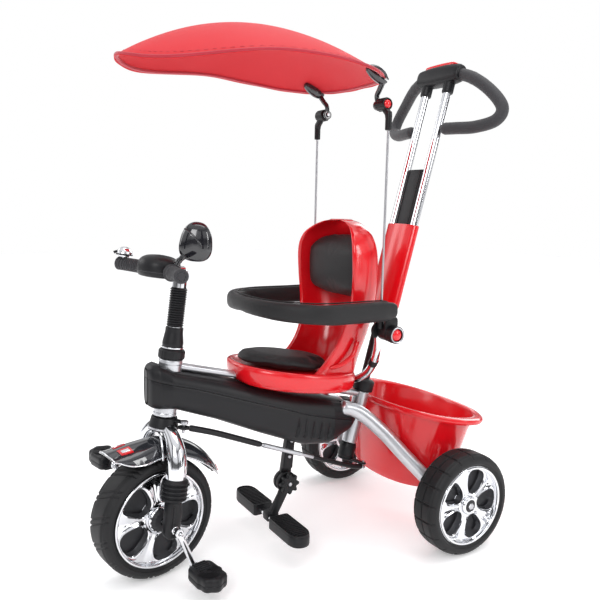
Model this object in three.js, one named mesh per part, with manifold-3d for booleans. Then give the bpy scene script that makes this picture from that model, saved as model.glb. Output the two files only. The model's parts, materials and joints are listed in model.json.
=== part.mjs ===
// Children's tricycle with a steering parent handle, sun canopy, guard ring and rear tub.
// Millimetres, +Z up, the front wheel towards -Y, the rider's left towards +X.
import * as THREE from "three";
import { mergeVertices } from "three/addons/utils/BufferGeometryUtils.js";
import Module from "manifold-3d";

const wasm = await Module();
wasm.setup();

// Driving dimensions.
const originShift = [0, 298.12, 0]; // puts the origin under the middle of the whole object
const gap = 0.4; // between pieces that touch
const smallest = 0.12; // detail finer than this is dropped from each finished piece
const rearWheel = { radius: 114.5, width: 70, rimRadius: 89, track: 238 };
const frontWheel = { radius: 126, width: 72, rimRadius: 101, y: -627, lift: 126.47 };
const steering = { rake: 7, turn: 9.84 }; // degrees: lean of the head tube, and how far the wheel is turned at rest
const rearPost = { y: -103, z: 335, lean: 15.1 }; // top of the rear head tube
const legOffset = 72; // fork leg centre from the wheel's middle
const crank = { length: 88, back: 44.6, down: 76.1, offset: 101, spindleEnd: 180 };
const coverThickness = 3;
const tubRim = { y: 38, halfWidth: 222, halfLength: 121, z: 284, slope: -0.13 };
const guardRing = { halfWidth: 162, frontY: -428, pivotY: -152, pivotZ: 492 };
const canopyPivot = { x: 131, y: -164, z: 972 };
const canopyDome = { y: -412, halfLength: 280, halfWidth: 165, edge: 946, rise: 91, crown: 76, flare: 0.42, droop: 40 };
const handleTubes = { x: 38, radius: 9.5, top: 738, bottom: 330 };
const footrestPivot = { y: -316, z: 136 };

const radians = THREE.MathUtils.degToRad;
const point = (p) => new THREE.Vector3(...p);

const finish = (color, roughness, metalness) =>
  new THREE.MeshStandardMaterial({ color, roughness, metalness });
const chrome = finish(0xd8dade, 0.12, 1);
const silver = finish(0xb9bcc2, 0.35, 0.8);
const blackPlastic = finish(0x1d1e22, 0.55, 0);
const blackGloss = finish(0x141416, 0.25, 0);
const redPlastic = finish(0xcf0a12, 0.22, 0);
const tyreBlack = finish(0x232428, 0.7, 0);
const blackPad = finish(0x1b1a1c, 0.6, 0);
const foam = finish(0x2b2b30, 0.85, 0);
const redCloth = finish(0xd21a24, 0.9, 0);
const smoked = finish(0x26272c, 0.2, 0);

// A closed geometry as a solid, its shared vertices merged and its faces turned outwards.
function solid(geometry) {
  const bare = new THREE.BufferGeometry();
  bare.setAttribute("position", geometry.getAttribute("position"));
  if (geometry.index) bare.setIndex(geometry.index);
  const merged = mergeVertices(bare, 1e-3);
  const build = (order) => {
    const source = merged.index.array;
    const faces = [];
    for (let i = 0; i < source.length; i += 3) {
      const corner = order.map((k) => source[i + k]);
      if (new Set(corner).size === 3) faces.push(...corner);
    }
    const vertProperties = new Float32Array(merged.attributes.position.array);
    const triVerts = new Uint32Array(faces);
    return new wasm.Manifold(new wasm.Mesh({ numProp: 3, vertProperties, triVerts }));
  };
  const made = build([0, 1, 2]);
  return made.volume() < 0 ? build([0, 2, 1]) : made;
}

function placed(geometry, position = [0, 0, 0], rotation = [0, 0, 0]) {
  const turn = new THREE.Quaternion().setFromEuler(new THREE.Euler(...rotation.map(radians)));
  const matrix = new THREE.Matrix4().compose(point(position), turn, new THREE.Vector3(1, 1, 1));
  return solid(geometry.clone().applyMatrix4(matrix));
}

const join = (...pieces) => pieces.reduce((a, b) => a.add(b));
const cut = (piece, ...tools) => tools.reduce((a, b) => a.subtract(b), piece);

// A cylinder along "x", "y" or "z", centred at a point.
function rod(axis, radius, length, centre, sides = 12, endRadius = radius) {
  const turn = { x: [0, 0, -90], y: [0, 0, 0], z: [90, 0, 0] }[axis];
  return placed(new THREE.CylinderGeometry(endRadius, radius, length, sides), centre, turn);
}

const box = (size, centre, rotation) => placed(new THREE.BoxGeometry(...size), centre, rotation);

// A round tube through a list of points, straight between two or smooth through more.
function tube(points, radius, sides = 10, steps = 10) {
  const straight = points.length === 2;
  const extrudePath = straight
    ? new THREE.LineCurve3(point(points[0]), point(points[1]))
    : new THREE.CatmullRomCurve3(points.map(point));
  const section = new THREE.Shape(
    Array.from({ length: sides }, (_, i) => {
      const a = (2 * Math.PI * i) / sides;
      return new THREE.Vector2(radius * Math.cos(a), radius * Math.sin(a));
    }),
  );
  const options = { steps: straight ? 1 : steps, bevelEnabled: false, extrudePath };
  return solid(new THREE.ExtrudeGeometry(section, options));
}

// A profile of [radius, height] pairs turned about the z axis, or laid along x.
function turned(profile, sides = 16, axis = "z", centre = [0, 0, 0]) {
  const geometry = new THREE.LatheGeometry(profile.map((p) => new THREE.Vector2(...p)), sides);
  return placed(geometry, centre, axis === "x" ? [0, 0, -90] : [90, 0, 0]);
}

// A skin through a row of rings, each the same number of points, with flat ends. Where the rings
// are troughs, an outer run of points and then an inner one back, the ends join the two runs.
function loft(rings, trough = false) {
  const count = rings[0].length;
  const vertices = rings.flat().flatMap((p) => [p.x, p.y, p.z]);
  const faces = [];
  for (let i = 0; i + 1 < rings.length; i++) {
    for (let j = 0; j < count; j++) {
      const [a, b] = [i * count + j, i * count + ((j + 1) % count)];
      faces.push(a, b, b + count, a, b + count, a + count);
    }
  }
  [0, rings.length - 1].forEach((i, end) => {
    const face = (a, b, c) => faces.push(...(end ? [a, b, c] : [a, c, b]));
    const first = i * count;
    if (trough) {
      for (let j = 0; j + 1 < count / 2; j++) {
        const [a, b, c, d] = [j, j + 1, count - 2 - j, count - 1 - j].map((k) => first + k);
        face(a, b, c);
        face(a, c, d);
      }
      return;
    }
    const middle = rings[i].reduce((s, p) => s.add(p), new THREE.Vector3()).divideScalar(count);
    vertices.push(middle.x, middle.y, middle.z);
    const hub = vertices.length / 3 - 1;
    for (let j = 0; j < count; j++) face(hub, first + j, first + ((j + 1) % count));
  });
  const geometry = new THREE.BufferGeometry();
  geometry.setAttribute("position", new THREE.Float32BufferAttribute(vertices, 3));
  geometry.setIndex(faces);
  return solid(geometry);
}

// A closed superellipse of "sides" points: the exponent runs from 2, round, to 4, boxy.
function oval(sides, exponent, place) {
  return Array.from({ length: sides }, (_, i) => {
    const a = (2 * Math.PI * i) / sides;
    const power = (c) => Math.sign(c) * Math.abs(c) ** (2 / exponent);
    return place(power(Math.cos(a)), power(Math.sin(a)), a);
  });
}

const mix = (a, b, t) => a + (b - a) * t;
// The value at x on a line through a list of [x, value] pairs.
function along(pairs, x) {
  const k = Math.max(1, Math.min(pairs.length - 1, pairs.findIndex((p) => p[0] >= x)));
  const [[x0, y0], [x1, y1]] = [pairs[k - 1], pairs[k]];
  return mix(y0, y1, Math.min(1, Math.max(0, (x - x0) / (x1 - x0))));
}
const spread = (count, from, to) =>
  Array.from({ length: count }, (_, i) => mix(from, to, i / (count - 1)));

const tricycle = new THREE.Group();
tricycle.position.set(...originShift);
const steered = new THREE.Group();
steered.rotation.z = radians(steering.turn);
const headTube = new THREE.Group();
headTube.position.set(0, frontWheel.y, frontWheel.lift);
headTube.rotation.x = radians(-steering.rake);
headTube.add(steered);
const post = new THREE.Group();
post.position.set(0, rearPost.y, rearPost.z);
post.rotation.x = radians(-rearPost.lean);
tricycle.add(headTube, post);

function add(name, made, material, parent = tricycle) {
  const data = made.simplify(smallest).getMesh();
  const geometry = new THREE.BufferGeometry();
  geometry.setAttribute("position", new THREE.BufferAttribute(data.vertProperties, 3));
  geometry.setIndex(new THREE.BufferAttribute(data.triVerts, 1));
  geometry.computeVertexNormals();
  const mesh = new THREE.Mesh(geometry, material);
  mesh.name = name;
  parent.add(mesh);
  return mesh;
}

// A solid given in a tilted group's own axes, moved into the tricycle's axes.
function fromGroup(made, group) {
  group.updateMatrix();
  return made.transform(group.matrix.toArray());
}

// Wheels: the tyre is a wide band with rounded shoulders, the rim a barrel with two five-spoke faces.
function tyre(wheel) {
  const half = wheel.width / 2;
  const bore = wheel.rimRadius + gap;
  const side = [[bore, half - 3], [wheel.radius - 9, half], [wheel.radius, half - 12]];
  const other = side.map(([r, x]) => [r, -x]).reverse();
  return turned([...side, ...other, side[0]], 28, "x");
}

// Five broad spokes as one star reaching into the barrel.
function spokes(wheel, depth) {
  const [inner, outer] = [wheel.rimRadius * 0.3, wheel.rimRadius - 4];
  const corners = spread(6, 0, 2 * Math.PI).slice(0, 5).flatMap((middle) =>
    [[inner, -0.47], [outer, -0.26], [outer, 0.26], [inner, 0.47]].map(([r, a]) =>
      new THREE.Vector2(r * Math.sin(middle + a), r * Math.cos(middle + a)),
    ),
  );
  const options = { depth, bevelEnabled: false };
  return placed(new THREE.ExtrudeGeometry(new THREE.Shape(corners), options), [-depth / 2, 0, 0], [0, 90, 0]);
}

function rim(wheel, boreRadius, hubRadius, hubHalf) {
  const half = wheel.width / 2 - 3;
  const inside = wheel.rimRadius - 7;
  const section = [[inside, -half], [wheel.rimRadius, -half], [wheel.rimRadius, half], [inside, half]];
  const barrel = turned([...section, section[0]], 28, "x");
  const hub = rod("x", hubRadius, 2 * hubHalf, [0, 0, 0], 8);
  const star = spokes(wheel, 2 * (half - 9));
  return cut(join(barrel, hub, star), rod("x", boreRadius, 200, [0, 0, 0], 10));
}

function rearWheels() {
  const axleRadius = 5;
  add("rear_axle", rod("x", axleRadius, 548, [0, 0, rearWheel.radius], 10), silver);
  for (const [side, s] of [["left", 1], ["right", -1]]) {
    const place = [s * rearWheel.track, 0, rearWheel.radius];
    add("rear_tyre_" + side, tyre(rearWheel), tyreBlack).position.set(...place);
    add("rear_rim_" + side, rim(rearWheel, axleRadius + 0.9, 15, 32), chrome).position.set(...place);
  }
}

// The steel frame: two head tubes, the main tube inside the cover and the slim rail under the seat.
const headBottom = 208;
const headTop = 324;
const postBottom = -140;
const postTop = -14;
const mainTubePath = [[0, -580, 380], [0, -470, 345], [0, -300, 292], [0, -118, 268]];
const railPath = [[0, -570, 431], [0, -125, 319]];

function mainFrame() {
  const front = rod("z", 24, headTop - headBottom, [0, 0, (headTop + headBottom) / 2], 14);
  const rear = rod("z", 18, postTop - postBottom, [0, 0, (postTop + postBottom) / 2], 14);
  const frontBore = fromGroup(rod("z", 15, 300, [0, 0, 250], 12), headTube);
  const rearBore = fromGroup(rod("z", 12.5, 300, [0, 0, -80], 12), post);
  const whole = join(
    fromGroup(front, headTube),
    fromGroup(rear, post),
    tube(mainTubePath, 17, 10, 5),
    tube(railPath, 7.5, 10),
  );
  add("main_frame", cut(whole, frontBore, rearBore), silver);
  const nut = turned([[15, 0], [24, 0], [26, 3], [26, 17], [23, 21], [15, 21], [15, 0]], 14);
  add("locknut", nut.translate([0, 0, headTop + gap]), blackPlastic, headTube);
}

// Each rear arm starts inside the cover and curves down and out to the axle.
const armPath = [[36, -196, 304], [50, -150, 288], [82, -103, 243], [122, -68, 193], [168, -34, 144], [196, -14, 116]];
const armTube = (s, radius) => tube(armPath.map(([x, y, z]) => [s * x, y, z]), radius, 10, 9);

function rearArms() {
  for (const [side, s] of [["left", 1], ["right", -1]]) {
    const arm = armTube(s, 16.5);
    const boss = rod("x", 15, 24, [s * 188, 0, rearWheel.radius], 12);
    const clear = rod("x", 5 + gap, 90, [s * 190, 0, rearWheel.radius], 10);
    const trimmed = cut(join(arm, boss), clear, box([40, 90, 90], [s * 221, 0, 114]));
    add("rear_arm_" + side, trimmed, silver);
  }
}

// Body cover: a hollow shell round the main tube, split along a seam into an upper and a lower half.
const coverTop = [[-640, 436], [-625, 443], [-590, 428], [-483, 400], [-343, 357], [-222, 325], [-160, 306], [-138, 290]];
const coverBottom = [[-640, 358], [-625, 352], [-590, 349], [-575, 343], [-502, 316], [-400, 271], [-334, 244],
  [-290, 226], [-227, 219], [-169, 238], [-138, 258]];
const coverWidth = [[-641, 10], [-636, 26], [-622, 39], [-600, 45], [-500, 51], [-343, 60], [-222, 58], [-160, 42], [-138, 24]];
const coverSeam = [[-641, 415], [-548, 390], [-426, 349], [-341, 321], [-290, 303], [-138, 262]];

function coverBody(inset) {
  const stations = [-640, -622, -590, -500, -400, -320, -225, -165, -138];
  const ends = [stations[0], stations.at(-1)];
  return loft(
    stations.map((y) => {
      const [low, high] = [along(coverBottom, y) + inset, along(coverTop, y) - inset];
      const half = along(coverWidth, y) - inset;
      const at = y === ends[0] ? y + inset : y === ends[1] ? y - inset : y;
      const [middle, rise] = [(low + high) / 2, (high - low) / 2];
      return oval(12, 3.4, (c, n) => new THREE.Vector3(half * c, at, middle + rise * n));
    }),
  );
}

function seamSlab(lower) {
  const outline = new THREE.Shape();
  const offset = lower ? -gap / 2 : gap / 2;
  outline.moveTo(-700, lower ? 100 : 600);
  outline.lineTo(-700, coverSeam[0][1] + offset);
  for (const [y, z] of coverSeam) outline.lineTo(y, z + offset);
  outline.lineTo(-60, coverSeam.at(-1)[1] + offset);
  outline.lineTo(-60, lower ? 100 : 600);
  const options = { depth: 200, bevelEnabled: false };
  // The outline's x is the tricycle's y and its y is the tricycle's z.
  return placed(new THREE.ExtrudeGeometry(outline, options), [-100, 0, 0], [90, 90, 0]);
}

function bodyCover() {
  const shell = cut(coverBody(0), coverBody(coverThickness));
  const headClearance = fromGroup(rod("z", 24 + gap, 400, [0, 0, 300], 14), headTube);
  const postClearance = fromGroup(rod("z", 19, 400, [0, 0, -80], 14), post);
  const railClearance = tube(railPath, 8.5, 10);
  const armClearance = [-1, 1].map((s) => armTube(s, 17.5));
  const footrestClearance = box([28, 40, 80], [-2, -309, 220]);
  const mainClearance = tube(mainTubePath, 18, 10, 5);
  const open = cut(shell, headClearance, postClearance, railClearance, mainClearance, ...armClearance);
  // Five upright slots are moulded in each side of the lower half, towards the rear.
  const slots = spread(5, -318, -236).flatMap((y) =>
    [-1, 1].map((s) => box([3, 7, 24], [s * 60.3, y, mix(272, 252, (y + 318) / 82)], [12, 0, 0])),
  );
  const keepLargest = (m) => m.decompose().sort((a, b) => b.volume() - a.volume())[0];
  add("body_cover_upper", keepLargest(open.intersect(seamSlab(false))), blackPlastic);
  add("body_cover_lower", keepLargest(cut(open.intersect(seamSlab(true)), footrestClearance, ...slots)), blackPlastic);
}

// Seat: a bucket shell with a wide base, a column and a winged back.
// Each level of the back is its height, half width, rear face and how far the wings come forward.
const seatBack = [[384, 96, -164, 150], [430, 88, -152, 108], [480, 92, -136, 94], [540, 108, -128, 90],
  [600, 117, -126, 94], [660, 117, -130, 92], [700, 100, -140, 74], [729, 34, -156, 38]];
const backWall = 11;

// A half loop from the left wing tip round the rear to the right one, squared at its corners.
function horseshoe(t, half, front, rear, z) {
  const [c, n] = [Math.cos(Math.PI * t), Math.sin(Math.PI * t)];
  const power = 2 / 3.2;
  const y = mix(front, rear, Math.abs(n) ** power);
  return new THREE.Vector3(half * Math.sign(c) * Math.abs(c) ** power, y, z);
}

function seatShell() {
  // The base: a rounded tray.
  const base = loft(
    [[366, 0.9], [376, 1], [400, 1], [408, 0.96]].map(([z, scale]) =>
      oval(18, 2.6, (c, n) => {
        const y = -305 + 145 * scale * n;
        const narrow = n < 0 ? 1 - 0.12 * n * n : 1 - 0.1 * n * n;
        return new THREE.Vector3(118 * scale * narrow * c, y, z + 0.14 * (-312 - y));
      }),
    ),
  );
  // The back: a horseshoe in plan at each level, its two arms the wings.
  const back = loft(
    seatBack.map(([z, half, rear, depth]) => {
      const front = rear - depth;
      const outer = spread(11, 0, 1).map((t) => horseshoe(t, half, front, rear, z));
      const inner = spread(11, 1, 0).map((t) => horseshoe(t, half - backWall, front, rear - backWall, z));
      return [...outer, ...inner];
    }),
    true,
  );
  const railRoom = tube(railPath, 9, 10);
  const postRoom = fromGroup(rod("z", 29, 560, [0, 0, 180], 10), post);
  const barRoom = box([31, 23, 26], [0, -156, 357.3]);
  add("seat_shell", cut(join(base, back), postRoom, coverBody(-1.3), railRoom, barRoom), redPlastic);
}

function cushions() {
  const seat = loft(
    [[0, 0.9], [7, 1], [15, 0.97], [21, 0.82]].map(([rise, scale]) =>
      oval(18, 2.4, (c, n) => {
        const y = -330 + 108 * scale * n;
        const narrow = 1 - 0.1 * n * n;
        return new THREE.Vector3(84 * scale * narrow * c, y, 411 + rise + 0.14 * (-312 - y));
      }),
    ),
  );
  add("seat_cushion", seat, blackPad);
  // The back cushion lines the shell from wing to wing: each level is its height, how much of the
  // horseshoe it leaves bare at each end, and its thickness.
  const levels = [[500, 0.3, 6], [512, 0.16, 11], [540, 0.1, 13], [645, 0.1, 13], [672, 0.17, 12], [688, 0.27, 10], [697, 0.37, 6]];
  const back = loft(
    levels.map(([z, bare, thick]) => {
      const [half, rear, depth] = [1, 2, 3].map((k) => along(seatBack.map((row) => [row[0], row[k]]), z));
      const front = rear - depth;
      const loop = (from, to, inset) =>
        spread(11, from, to).map((t) => horseshoe(t, half - backWall - inset, front, rear - backWall - inset, z));
      return [...loop(bare, 1 - bare, 2.2), ...loop(1 - bare, bare, thick)];
    }),
    true,
  );
  add("back_cushion", back, blackPad);
}

// Tub: an oval bowl with a rolled rim and a floor thick enough to cover the axle.
function tub() {
  const at = (scaleX, scaleY, depth, shift = 0, floor = 108) =>
    oval(24, 2.2, (c, n) => {
      const y = tubRim.y + tubRim.halfLength * scaleY * n + shift;
      const rimZ = tubRim.z + tubRim.slope * (tubRim.halfLength * scaleY * n);
      return new THREE.Vector3(tubRim.halfWidth * scaleX * c, y, mix(rimZ, floor, depth));
    });
  const outer = loft([at(0.62, 0.66, 1, -18), at(0.7, 0.72, 0.9, -17), at(0.8, 0.85, 0.35, -8), at(0.86, 0.92, 0.03),
    at(1, 1, 0.03), at(1, 1, -0.035)]);
  const inner = loft([at(0.64, 0.66, 1, -17, 130), at(0.78, 0.82, 0.35, -8), at(0.85, 0.9, -0.2)]);
  const postRoom = fromGroup(rod("z", 21, 460, [0, 0, -100], 12), post);
  const collarRoom = fromGroup(rod("z", 28, 60, [0, 0, 8], 12), post);
  const axleRoom = rod("x", 8, 600, [0, 0, rearWheel.radius], 10);
  const armRoom = [-1, 1].map((s) => armTube(s, 19));
  const wheelRoom = [-1, 1].map((s) => rod("x", rearWheel.radius + 6, 90, [s * 242, 0, rearWheel.radius], 28));
  const made = cut(outer, inner, postRoom, collarRoom, axleRoom, ...armRoom, ...wheelRoom);
  add("basket", made.decompose().sort((a, b) => b.volume() - a.volume())[0], redPlastic);
}

// Support bar, guard brackets, their push-buttons and the canopy rods.
const rodPlace = { x: 136.5, y: -164.5 };
function supports() {
  const side = [[124, -160, 484], [122, -158, 462], [104, -152, 424], [72, -146, 388], [36, -150, 365]];
  const path = [...side, [0, -152, 358], ...side.map(([x, y, z]) => [-x, y, z]).reverse()];
  const shaftRoom = fromGroup(rod("z", 12, 300, [0, 0, 40], 10), post);
  add("support_bar", cut(tube(path, 9, 8, 16), shaftRoom), chrome);
  const { pivotY, pivotZ } = guardRing;
  const { y, z } = canopyPivot;
  for (const [name, s] of [["left", 1], ["right", -1]]) {
    // The bracket: a drum on the bar's end, a pin for the guard's ear and a cup for the button.
    const drum = rod("x", 17, 44.6, [s * 128.3, pivotY, pivotZ], 10);
    const pin = rod("x", 10, 14, [s * 156, pivotY, pivotZ], 10);
    const cup = rod("x", 19, 18.4, [s * 170.8, pivotY, pivotZ], 12);
    const socket = rod("z", 7, 36, [s * rodPlace.x, rodPlace.y, pivotZ + 26], 8);
    const buttonRoom = rod("x", 14, 14.6, [s * 173.5, pivotY, pivotZ], 12);
    const rodRoom = rod("z", 3, 60, [s * rodPlace.x, rodPlace.y, pivotZ + 37], 8);
    const barRoom = tube([[s * 124, -160, 430], [s * 124, -160, 492]], 10.6, 12);
    add("guard_bracket_" + name, cut(join(drum, pin, cup, socket), buttonRoom, rodRoom, barRoom), blackPlastic);
    const button = turned([[0, 0], [13.2, 0], [13.2, 5], [0, 10]], 14, "x");
    const facing = s > 0 ? button : button.mirror([1, 0, 0]);
    add("guard_button_" + name, facing, redPlastic).position.set(s * 171.8, pivotY, pivotZ);
    // The upright: a thin rod, a sleeve at its top and the knob the canopy clip turns on.
    const thin = rod("z", 2.5, 430, [s * rodPlace.x, rodPlace.y, 725], 6);
    const sleeve = rod("z", 7, 38, [s * rodPlace.x, rodPlace.y, 937], 8);
    const knob = rod("x", 13, 30, [s * (canopyPivot.x - 14), y, z], 10);
    const clipPin = rod("x", 4, 14, [s * (canopyPivot.x - 34), y, z], 8);
    const neck = join(
      box([26, 14, 12], [s * 130, rodPlace.y, 950]),
      box([12, 14, 18], [s * 120, rodPlace.y, 959]),
    );
    const upright = join(thin, sleeve, neck, knob, clipPin);
    const pressRoom = rod("x", 9.5, 10, [canopyPivot.x - 1, y, z], 10);
    add("canopy_rod_" + name, s > 0 ? cut(upright, pressRoom) : upright, blackPlastic);
  }
  const press = turned([[0, 0], [8.8, 0], [8.8, 3], [0, 6.5]], 12, "x");
  add("canopy_button", press, redPlastic).position.set(canopyPivot.x - 2.4, y, z);
}

// Guard ring: a padded bar from one bracket round the front to the other, deeper at its sides.
function guard() {
  const { halfWidth, frontY, pivotY, pivotZ } = guardRing;
  const bendY = -300; // where the straight sides start to curve in
  const rings = spread(19, -1, 1).map((t) => {
    const far = Math.abs(t);
    const s = Math.sign(t);
    const turnShare = Math.min(1, far / 0.6);
    const a = (turnShare * Math.PI) / 2;
    const straight = Math.max(0, (far - 0.6) / 0.4);
    const middle = [s * halfWidth * Math.sin(a) ** 0.92, mix(bendY + (frontY - bendY) * Math.cos(a), pivotY + 6, straight)];
    const out = new THREE.Vector3(s * Math.sin(a) * (bendY - frontY), -Math.cos(a) * halfWidth, 0).normalize();
    const low = along([[0, 534], [0.3, 526], [0.6, 519], [0.92, 519], [1, 526]], far);
    const high = along([[0, 570], [0.5, 567], [0.92, 566], [1, 560]], far);
    const thick = along([[0, 13], [0.5, 16], [0.9, 17], [1, 11]], far);
    return oval(10, 2.7, (c, n) => {
      const height = (low + high) / 2 + ((high - low) / 2) * n;
      return new THREE.Vector3(middle[0], middle[1], height).addScaledVector(out, thick * c);
    });
  });
  const ears = [-1, 1].map((s) =>
    cut(
      join(box([10, 34, 36], [s * 156, pivotY, pivotZ + 18]), rod("x", 18.5, 10, [s * 156, pivotY, pivotZ], 10)),
      rod("x", 11, 30, [s * 156, pivotY, pivotZ], 10),
    ),
  );
  add("guard_ring", join(loft(rings), ...ears), blackPad);
}

// Canopy: a shallow fabric dome on two clips that tilt about the knobs.
function domePoint(c, n, lift) {
  const { y, halfLength, halfWidth, edge, rise, crown, flare, droop } = canopyDome;
  // The front corners droop, and the back ones are held up by the clips.
  const corner = n < 0 ? droop * (c * n) ** 2 : 0;
  const z = edge + rise * (1 - n * n) + crown * (1 - c * c) - corner + lift;
  return new THREE.Vector3(halfWidth * c * (1 + flare * n), y + halfLength * n, z);
}

function canopy() {
  const thickness = 3;
  const sides = 26;
  const skins = [[1, 0], [0.8, 0], [0.55, 0], [0.25, 0]];
  const ringAt = (scale, lift) => oval(sides, 2.2, (c, n) => domePoint(c * scale, n * scale, lift));
  const over = skins.map(([scale]) => ringAt(scale, thickness));
  const under = skins.map(([scale]) => ringAt(scale, 0)).reverse();
  add("canopy", loft([...under, ...over]), redCloth);
  for (const [side, s] of [["left", 1], ["right", -1]]) {
    const { y, z } = canopyPivot;
    const eyeX = s * (canopyPivot.x - 35);
    const eye = rod("x", 10, 7, [eyeX, y, z], 10);
    const pinRoom = rod("x", 4 + gap, 30, [eyeX, y, z], 8);
    const stem = tube([[eyeX, y, z + 6], [eyeX, y - 2, z + 20], [s * 106, y - 4, z + 30], [s * 121, y - 6, z + 46]], 5, 8, 5);
    const shell = loft(
      [[-16, 7], [-8, 17], [8, 21], [24, 17], [36, 8]].map(([forward, size]) =>
        oval(8, 2.2, (c, n) => new THREE.Vector3(s * 121 + 8 * c, y - 12 - forward, z + 55 + 0.3 * forward + size * 0.8 * n)),
      ),
    );
    const room = (lift) => skins.map(([scale]) => ringAt(scale * 1.02, lift));
    const sheet = loft([...room(-0.8).reverse(), ...room(thickness + 0.8)]);
    const made = cut(join(eye, stem, shell), sheet, pinRoom);
    add("canopy_clip_" + side, made.decompose().sort((a, b) => b.volume() - a.volume())[0], blackGloss);
  }
}

// Push handle: a shaft through the rear head tube carries the red sleeve, and twin tubes slide in it.
function pushHandle() {
  const shaft = rod("z", 11.5, 320, [0, 0, 6], 10);
  const collar = turned([[0, -13], [23, -13], [25, -10], [25, 12], [19, 17], [0, 17]], 14);
  const core = box([44, 16, 240], [0, 0, 280]);
  const guide = box([56, 12, 141], [0, 0, 463.5]);
  add("rear_steering_shaft", join(shaft, collar, core, guide), blackPlastic, post);
  const sleeve = loft(
    [[152, 17, 14], [180, 40, 16], [206, 53, 17], [392, 53, 17]].map(([z, w, d]) =>
      oval(16, 2.2, (c, n) => new THREE.Vector3(w * c, d * n, z)),
    ),
  );
  const tubeRoom = [-1, 1].map((s) => rod("z", handleTubes.radius + gap, 300, [s * handleTubes.x, 0, 368], 8));
  const coreRoom = box([44.8, 16.8, 250], [0, 0, 276]);
  const shaftRoom = rod("z", 12, 60, [0, 0, 140], 10);
  add("handle_sleeve", cut(sleeve, ...tubeRoom, coreRoom, shaftRoom), redPlastic, post);
  for (const [side, s] of [["left", 1], ["right", -1]]) {
    const { x, top, bottom, radius } = handleTubes;
    const made = rod("z", radius, top - bottom, [s * x, 0, (top + bottom) / 2], 8);
    add("handle_tube_" + side, made, chrome, post);
  }
}

// The handle loop: a foam-covered bar through the housing, its lobes curling round to end at the tubes.
const loopHeight = handleTubes.top + 28;
const loopRadius = 14;
const lobePath = [[60, 4, -2], [105, 14, -16], [150, 32, -46], [182, 43, -82], [176, 38, -112], [135, 22, -129],
  [90, 8, -133], [50, 0, -134]];
const loopPath = [...lobePath.map(([x, y, z]) => [-x, y, z]).reverse(), [0, 0, 0], ...lobePath].map(([x, y, z]) => [
  x, y, z + loopHeight,
]);

function handleTop() {
  const bar = tube(loopPath, loopRadius, 8, 28);
  const barRoom = tube(loopPath, loopRadius + 0.5, 8, 28);
  const housing = loft(
    [[-70, 17], [-62, 21], [-24, 24], [24, 24], [62, 21], [70, 17]].map(([x, r]) =>
      oval(12, 2.8, (c, n) => new THREE.Vector3(x, r * 0.84 * c, loopHeight + r * n - (r - 17) * 0.2)),
    ),
  );
  const sockets = [-1, 1].map((s) => rod("z", 13, 34, [s * handleTubes.x, 0, handleTubes.top - 1], 10));
  const tubeRoom = [-1, 1].map((s) =>
    rod("z", handleTubes.radius + gap, 60, [s * handleTubes.x, 0, handleTubes.top - 30 + gap], 8),
  );
  const pressRoom = box([104, 25, 17.6], [0, 0, loopHeight + 23]);
  add("handle_housing", cut(join(housing, ...sockets), barRoom, ...tubeRoom, pressRoom), blackPlastic, post);
  add("handle_loop", bar, foam, post);
  const cap = loft(
    [[-50, 3], [-42, 6], [-14, 8], [14, 8], [42, 6], [50, 3]].map(([x, r]) =>
      oval(12, 2.6, (c, n) => new THREE.Vector3(x, 11.5 * c, loopHeight + 22 + r * n)),
    ),
  );
  const barTop = box([120, 40, 10], [0, 0, loopHeight + 12.6]);
  add("handle_release", cut(cap, barTop), redPlastic, post);
}

// Rear steering arm and the link rod under the body, which turns the fork with the push handle.
const linkPin = { side: 34, back: 30 }; // each pin from its steering axis, with the handle straight
const linkPath = [[34, -124, 146], [34, -166, 156.5], [34, -290, 205], [34, -396, 246], [34, -500, 288], [34, -564, 310]];
const armAngle = THREE.MathUtils.radToDeg(Math.atan2(linkPin.back, linkPin.side));
const eyeRadius = 7.5; // the front eye is opened round its pin, which takes up the two axes' different lean

// A flat lever from a steering axis out to its link pin, in that axis's own frame.
function lever(height, thickness, start, turned = 0) {
  const reach = Math.hypot(linkPin.side, linkPin.back);
  const bar = box([reach - start, 13, thickness], [(reach + start) / 2, 0, height]);
  return join(bar, rod("z", 8, thickness, [reach, 0, height], 10)).rotate([0, 0, armAngle - turned]);
}

function linkage() {
  const { side, back } = linkPin;
  const cap = turned([[12.4, -176], [18, -176], [20, -172], [20, -150], [18, -141], [12.4, -141], [12.4, -176]], 14);
  const floor = rod("z", 18, 6, [0, 0, -179], 12);
  const pivotRoom = rod("z", 3.4, 30, [side, back, -181], 8);
  add("rear_steering_arm", cut(join(cap, floor, lever(-179.5, 7, 12)), pivotRoom), blackPlastic, post);
  const end = fromGroup(rod("z", 7, 7, [side, back, -188], 10), post);
  const stud = fromGroup(rod("z", 2.8, 16, [side, back, -181], 8), post);
  const shank = tube(linkPath, 4, 8, 12);
  const sleeve = tube(linkPath.slice(2, 5), 6.5, 8, 6);
  const eye = cut(rod("z", 12, 5, [side, back, 190.5], 14), rod("z", eyeRadius, 20, [side, back, 190.5], 14));
  add("link_rod", cut(join(shank, sleeve, end, stud, fromGroup(eye, headTube)), eyeRoom()), blackPlastic);
}

// The way through the front eye, kept clear of the shank's end.
function eyeRoom() {
  return fromGroup(rod("z", eyeRadius, 60, [linkPin.side, linkPin.back, 190.5], 14), headTube);
}

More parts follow.
